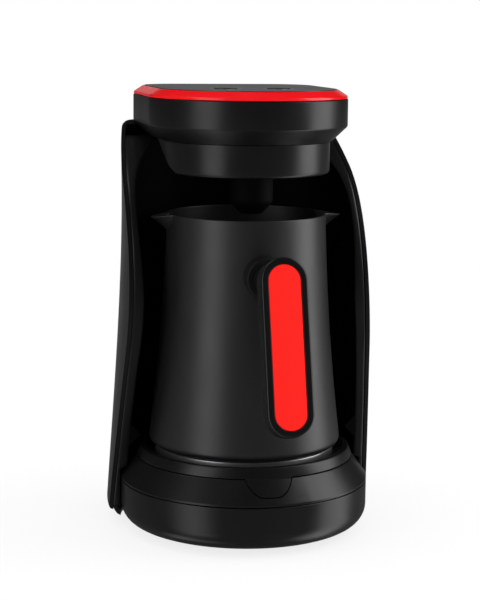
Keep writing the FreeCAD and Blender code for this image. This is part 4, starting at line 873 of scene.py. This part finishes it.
def makeChin(size):
    # Half round in front with straight sides. The underside is flat in front and rises behind.
    low, high = lowOf("head_chin"), highOf("head_chin")
    angle = np.linspace(0, math.pi / 2, 8)
    edge = size["edge"]
    flat = size["radius"] - edge
    radius = np.concatenate([np.linspace(0, flat, 14), flat + edge * np.sin(angle[1:]),
                             np.full(8, size["radius"])])
    rise = np.concatenate([np.zeros(14), edge * (1 - np.cos(angle[1:])), np.full(8, edge)])
    share = np.concatenate([np.zeros(21), np.linspace(0, 1, 9)[1:]])
    back = (high - low) / math.tan(math.radians(size["slope"])) - size["flatBack"]
    front = np.linspace(-math.pi / 2, math.pi / 2, 121)
    side = np.linspace(0, 1, 25)[1:]
    across = np.concatenate([np.sin(front), 1 + 0 * side, 1 - 2 * side, -1 + 0 * side[:-1]])
    along = np.concatenate([-np.cos(front), side, 1 + 0 * side, 1 - side[:-1]])
    x = radius[:, None] * across
    y = np.where(along > 0, along * back, radius[:, None] * along)
    under = low + np.maximum(y + size["flatBack"], 0) * math.tan(math.radians(size["slope"])) + rise[:, None]
    under = np.minimum(under, high)
    z = under + (high - under) * share[:, None]
    under = np.stack([x, y, z], -1)
    lid = under[-1:] * np.array([0.0, 0.0, 1.0])
    makePiece("chin", [(np.concatenate([under, lid]), False, True)], smoothBlack, "machine", ["head_chin"],
              sharp=35)


noseSizes = {"radius": 13.0, "forward": 12.0, "dome": 6.5, "lens": 5.9, "bezel": 0.6, "recess": 2.2,
             "domeEdge": 6.0, "length": 30.0}


def makeNose(size):
    low = lowOf("boil_sensor")
    section = softened([
        (0, low + size["recess"]),
        (size["lens"], low + size["recess"]),
        (size["lens"], low, 0.2),
        (size["lens"] + size["bezel"], low, 0.4),
        (size["radius"], low + size["dome"], size["domeEdge"]),
        (size["radius"], low + size["length"]),
        (0, low + size["length"]),
    ], 8)
    grid = revolved(section, 96) - np.array([0.0, size["forward"], 0.0])
    # The nose's near-black colour is painted shade.
    makePiece("sensorNose", [(grid, False, True)], bayShadeBlack, "machine", ["boil_sensor"])


headSizes = {"half": 60.0, "back": 82.5, "corner": 30.0, "flare": 9.4, "wall": 2.5, "edge": 0.5,
             "flareEdge": 1.6, "seam": 0.3, "inward": 48.0, "mouth": 6.0}


def headRings(rows, size):
    # Each row (inset, level) is a half circle in front, straight sides and two rounded rear corners.
    rows = np.array(rows, float)
    inset = rows[:, 0:1]
    half = size["half"] - inset
    back = size["back"] - inset
    corner = np.maximum(size["corner"] - inset, 0.01)
    front = np.linspace(-math.pi / 2, math.pi / 2, 120)[None, :]
    straight = np.linspace(0, 1, 16)[None, 1:-1]
    bend = np.linspace(0, math.pi / 2, 26)[None, :]
    x = [half * np.sin(front)]
    y = [-half * np.cos(front)]
    x.append(half + 0 * straight)
    y.append((back - corner) * straight)
    x.append(half - corner + corner * np.cos(bend))
    y.append(back - corner + corner * np.sin(bend))
    x.append((half - corner) * (1 - 2 * straight))
    y.append(back + 0 * straight)
    x.append(-(half - corner) - corner * np.sin(bend))
    y.append(back - corner + corner * np.cos(bend))
    x.append(-half + 0 * straight)
    y.append((back - corner) * (1 - straight))
    x = np.concatenate(x, axis=1)
    y = np.concatenate(y, axis=1)
    return np.stack([x, y, np.broadcast_to(rows[:, 1:2], x.shape)], -1)


def makeHead(size):
    low, high = lowOf("head_shell"), highOf("head_shell")
    bandLow = highOf("rear_panel") + size["seam"]
    section = softened([
        (size["inward"], low),
        (size["flare"], low, 0.8),
        (0, bandLow, size["flareEdge"]),
        (0, high, size["edge"]),
        (size["wall"], high, 0.4),
        (size["wall"], high - size["mouth"]),
        (size["inward"], high - size["mouth"]),
    ], 6)
    makePiece("headShell", [(headRings(section, size), True, True)], smoothBlack, "machine", ["head_shell"],
              sharp=35)


accentSizes = {"slope": 5.8, "land": 0.8, "flange": 5.4, "edge": 0.7}


def makeAccent(size, head):
    low, high = lowOf("accent_ring"), highOf("accent_ring")
    inner = size["slope"] + size["land"]
    ledge = lowOf("lid_plate") - 0.3
    section = softened([
        (inner + size["flange"], low),
        (0, low, 0.5),
        (0.5, low + 1.6, 0.8),
        (size["slope"], high, size["edge"]),
        (inner, high, 0.3),
        (inner, ledge),
        (inner + size["flange"], ledge),
    ], 6)
    makePiece("accentRing", [(headRings(section, head), True, True)], polishedRed, "machine", ["accent_ring"],
              sharp=35)


keySizes = {"radius": 7.0, "spacing": 32.0, "forward": 12.0, "dish": 0.35, "edge": 0.6, "stem": 3.0,
            "flange": 8.2, "flangeHeight": 1.4}


def makeKeys(size):
    low, high = lowOf("key_left"), highOf("key_left")
    flangeTop = lowOf("lid_plate") - 0.3
    radius = np.linspace(size["radius"] - size["edge"] - 0.3, 0, 10)
    dish = np.stack([radius, high - size["dish"] * (1 - (radius / radius[0]) ** 2)], -1)
    side = softened([
        (0, low),
        (size["stem"], low, 0.3),
        (size["stem"], flangeTop - size["flangeHeight"]),
        (size["flange"], flangeTop - size["flangeHeight"], 0.3),
        (size["flange"], flangeTop, 0.3),
        (size["radius"], flangeTop),
        (size["radius"], high, size["edge"]),
        (0, high),
    ])[:-1]
    cap = revolved(np.concatenate([side, dish]), 72)
    for body, sign in (("key_left", -1), ("key_right", 1)):
        place = np.array([sign * size["spacing"] / 2, -size["forward"], 0.0])
        makePiece(body.replace("_l", "L").replace("_r", "R"), [(cap + place, False, True)], smoothBlack, body,
                  [body])


markSizes = {"ring": 8.6, "ringWidth": 0.5, "dot": 1.1, "dotGap": 4.2, "dotsBehind": 13.0, "ink": 0.06}


def makeMarks(size, keys):
    # A thin printed ring round each key, with one dot behind the left key and two behind the right one.
    high = highOf("lid_plate")
    base, top = high - 0.05, high + size["ink"]
    inner = size["ring"]
    outer = inner + size["ringWidth"]
    ring = revolved(np.array([(inner, base), (outer, base), (outer, top), (inner, top)]), 96)
    dot = revolved(np.array([(0, base), (size["dot"], base), (size["dot"], top), (0, top)]), 32)
    sheets = []
    for sign, dots in ((-1, 1), (1, 2)):
        place = np.array([sign * keys["spacing"] / 2, -keys["forward"], 0.0])
        sheets.append((ring + place, True, True))
        for index in range(dots):
            aside = (index - (dots - 1) / 2) * size["dotGap"]
            sheets.append((dot + place + np.array([aside, size["dotsBehind"], 0.0]), False, True))
    makePiece("lidMarks", sheets, paleInk, "machine", ())


makeChin(chinSizes)
makeNose(noseSizes)
makeHead(headSizes)
makeAccent(accentSizes, headSizes)
makeKeys(keySizes)
makeMarks(markSizes, keySizes)
print("head made")


# The focal length is in pixels of an image 480 wide, the places are in metres and the angles in degrees.
cameraSizes = {"focal": 1684.64, "imageWidth": 480, "sensor": 36.0, "distance": 1.01094, "height": 0.3022,
               "turn": 13.0, "yaw": -0.1835, "pitch": 9.155, "roll": 0.592}


def makeCamera(size):
    # The camera stands round the pot's axis, turned towards the object's left, and looks a little down.
    turn = math.radians(size["turn"])
    yaw, pitch, roll = (math.radians(size[key]) for key in ("yaw", "pitch", "roll"))
    heading = turn + yaw
    level = math.cos(pitch)
    ahead = Vector((math.sin(heading) * level, math.cos(heading) * level, -math.sin(pitch)))
    right = ahead.cross(Vector((0, 0, 1))).normalized()
    up = right.cross(ahead)
    across = math.cos(roll) * right + math.sin(roll) * up
    upward = -math.sin(roll) * right + math.cos(roll) * up
    away = size["distance"]
    place = Vector((-away * math.sin(turn), axisY - away * math.cos(turn), size["height"]))
    lens = bpy.data.cameras.new("camera")
    lens.sensor_fit = "HORIZONTAL"
    lens.sensor_width = size["sensor"]
    lens.lens = size["focal"] / size["imageWidth"] * size["sensor"]
    lens.clip_start = 0.05
    lens.clip_end = 50.0
    camera = bpy.data.objects.new("camera", lens)
    axes = Matrix((across, upward, -ahead)).transposed().to_4x4()
    camera.matrix_world = Matrix.Translation(place) @ axes
    bpy.context.scene.collection.objects.link(camera)
    bpy.context.scene.camera = camera


floorSizes = {"half": 6.0, "colour": "#f4f4f4", "mirror": 0.7, "mirrorRough": 0.12, "dim": 0.09, "glow": 0.80,
              "clearFrom": 0.12, "clearTo": 0.40}


def makeFloor(size):
    half = size["half"]
    mesh = bpy.data.meshes.new("floor")
    corners = [(-half, -half, 0), (half, -half, 0), (half, half, 0), (-half, half, 0)]
    mesh.from_pydata(corners, [], [(0, 1, 2, 3)])
    floor = bpy.data.objects.new("floor", mesh)
    bpy.context.scene.collection.objects.link(floor)
    finish, tree, output, place = newFinish("paleFloor")
    light = addNode(tree, "ShaderNodeLightPath")
    pale = addNode(tree, "ShaderNodeBsdfDiffuse", {"Color": hexColour(size["colour"])})
    glow = addNode(tree, "ShaderNodeEmission", {"Color": (1, 1, 1, 1), "Strength": 1.0})
    away = addNode(tree, "ShaderNodeVectorMath", links={0: place}, operation="LENGTH")
    clear = addNode(tree, "ShaderNodeMapRange", {"From Min": size["clearFrom"], "From Max": size["clearTo"],
                                                 "To Min": size["glow"], "To Max": 1.0},
                    {"Value": away.outputs["Value"]}, interpolation_type="SMOOTHSTEP")
    shown = addNode(tree, "ShaderNodeMath", operation="MULTIPLY",
                    links={0: clear.outputs["Result"], 1: light.outputs["Is Camera Ray"]})
    mixed = addNode(tree, "ShaderNodeMixShader", links={0: shown.outputs["Value"], 1: pale.outputs["BSDF"],
                                                        2: glow.outputs["Emission"]})
    # To reflections it is a dim polished table top, so the bowl shows the lamps in it.
    mirror = size["mirror"]
    polish = addNode(tree, "ShaderNodeBsdfAnisotropic", {"Color": (mirror, mirror, mirror, 1),
                                                         "Roughness": size["mirrorRough"]})
    dim = addNode(tree, "ShaderNodeEmission", {"Color": (1, 1, 1, 1), "Strength": size["dim"]})
    reflected = addNode(tree, "ShaderNodeAddShader",
                        links={0: polish.outputs["BSDF"], 1: dim.outputs["Emission"]})
    whole = addNode(tree, "ShaderNodeMixShader",
                    links={0: light.outputs["Is Glossy Ray"], 1: mixed.outputs["Shader"],
                           2: reflected.outputs["Shader"]})
    tree.links.new(whole.outputs["Shader"], output.inputs["Surface"])
    mesh.materials.append(finish)


worldSizes = {"fill": 0.95, "mirror": 0.02, "backdrop": 0.36, "from": 0.90, "to": 0.985}


def makeWorld(size):
    # White to the camera and a plain fill for diffuse light. Mirror reflections see a dark room in front
    # and a pale backdrop behind the object.
    world = bpy.data.worlds.new("studio")
    world.use_nodes = True
    tree = world.node_tree
    tree.nodes.clear()
    output = addNode(tree, "ShaderNodeOutputWorld")
    light = addNode(tree, "ShaderNodeLightPath")
    seen = addNode(tree, "ShaderNodeMath", operation="MAXIMUM",
                   links={0: light.outputs["Is Camera Ray"], 1: light.outputs["Is Transmission Ray"]})
    fill = addNode(tree, "ShaderNodeBackground", {"Color": (1, 1, 1, 1), "Strength": size["fill"]})
    turn = math.radians(cameraSizes["turn"])
    towards = addNode(tree, "ShaderNodeNewGeometry").outputs["Incoming"]
    behind = addNode(tree, "ShaderNodeVectorMath", {1: (-math.sin(turn), -math.cos(turn), 0.0)}, {0: towards},
                     operation="DOT_PRODUCT")
    seenBack = addNode(tree, "ShaderNodeMapRange",
                       {"From Min": size["from"], "From Max": size["to"], "To Min": size["mirror"],
                        "To Max": size["backdrop"]},
                       {"Value": behind.outputs["Value"]}, interpolation_type="SMOOTHSTEP")
    mirror = addNode(tree, "ShaderNodeBackground", {"Color": (1, 1, 1, 1)},
                     {"Strength": seenBack.outputs["Result"]})
    white = addNode(tree, "ShaderNodeBackground", {"Color": (1, 1, 1, 1), "Strength": 1.0})
    first = addNode(tree, "ShaderNodeMixShader", links={0: light.outputs["Is Glossy Ray"], 1: fill.outputs[0],
                                                        2: mirror.outputs[0]})
    second = addNode(tree, "ShaderNodeMixShader",
                     links={0: seen.outputs[0], 1: first.outputs[0], 2: white.outputs[0]})
    tree.links.new(second.outputs[0], output.inputs["Surface"])
    bpy.context.scene.world = world


# Each softbox stands at an angle to the right of the camera, as seen from the object.
# It faces the pot's axis at the height lampAim.
lampAim = 0.14
lampSizes = {
    "leftBox": {"angle": -46, "distance": 1.15, "height": 0.42, "width": 0.58, "length": 1.0, "bright": 1.5},
    "rightBox": {"angle": 92, "distance": 1.05, "height": 0.55, "width": 0.70, "length": 1.4, "bright": 2.5},
    "topBox": {"angle": -90, "distance": 0.62, "height": 1.35, "width": 0.5, "length": 0.8, "bright": 1.6},
}


def makeLamps(lamps):
    for name, size in lamps.items():
        turn = math.radians(size["angle"] - cameraSizes["turn"])
        away = size["distance"]
        place = Vector((away * math.sin(turn), axisY - away * math.cos(turn), size["height"]))
        lamp = bpy.data.lights.new(name, "AREA")
        lamp.shape = "RECTANGLE"
        lamp.size = size["width"]
        lamp.size_y = size["length"]
        # The power of a face is its brightness times pi and its area.
        lamp.energy = size["bright"] * math.pi * size["width"] * size["length"]
        holder = bpy.data.objects.new(name, lamp)
        holder.location = place
        holder.rotation_euler = (Vector((0, axisY, lampAim)) - place).to_track_quat("-Z", "Y").to_euler()
        bpy.context.scene.collection.objects.link(holder)


makeCamera(cameraSizes)
makeFloor(floorSizes)
makeWorld(worldSizes)
makeLamps(lampSizes)
bpy.context.scene.view_settings.view_transform = "Standard"
print("stage made")

bpy.context.view_layer.update()
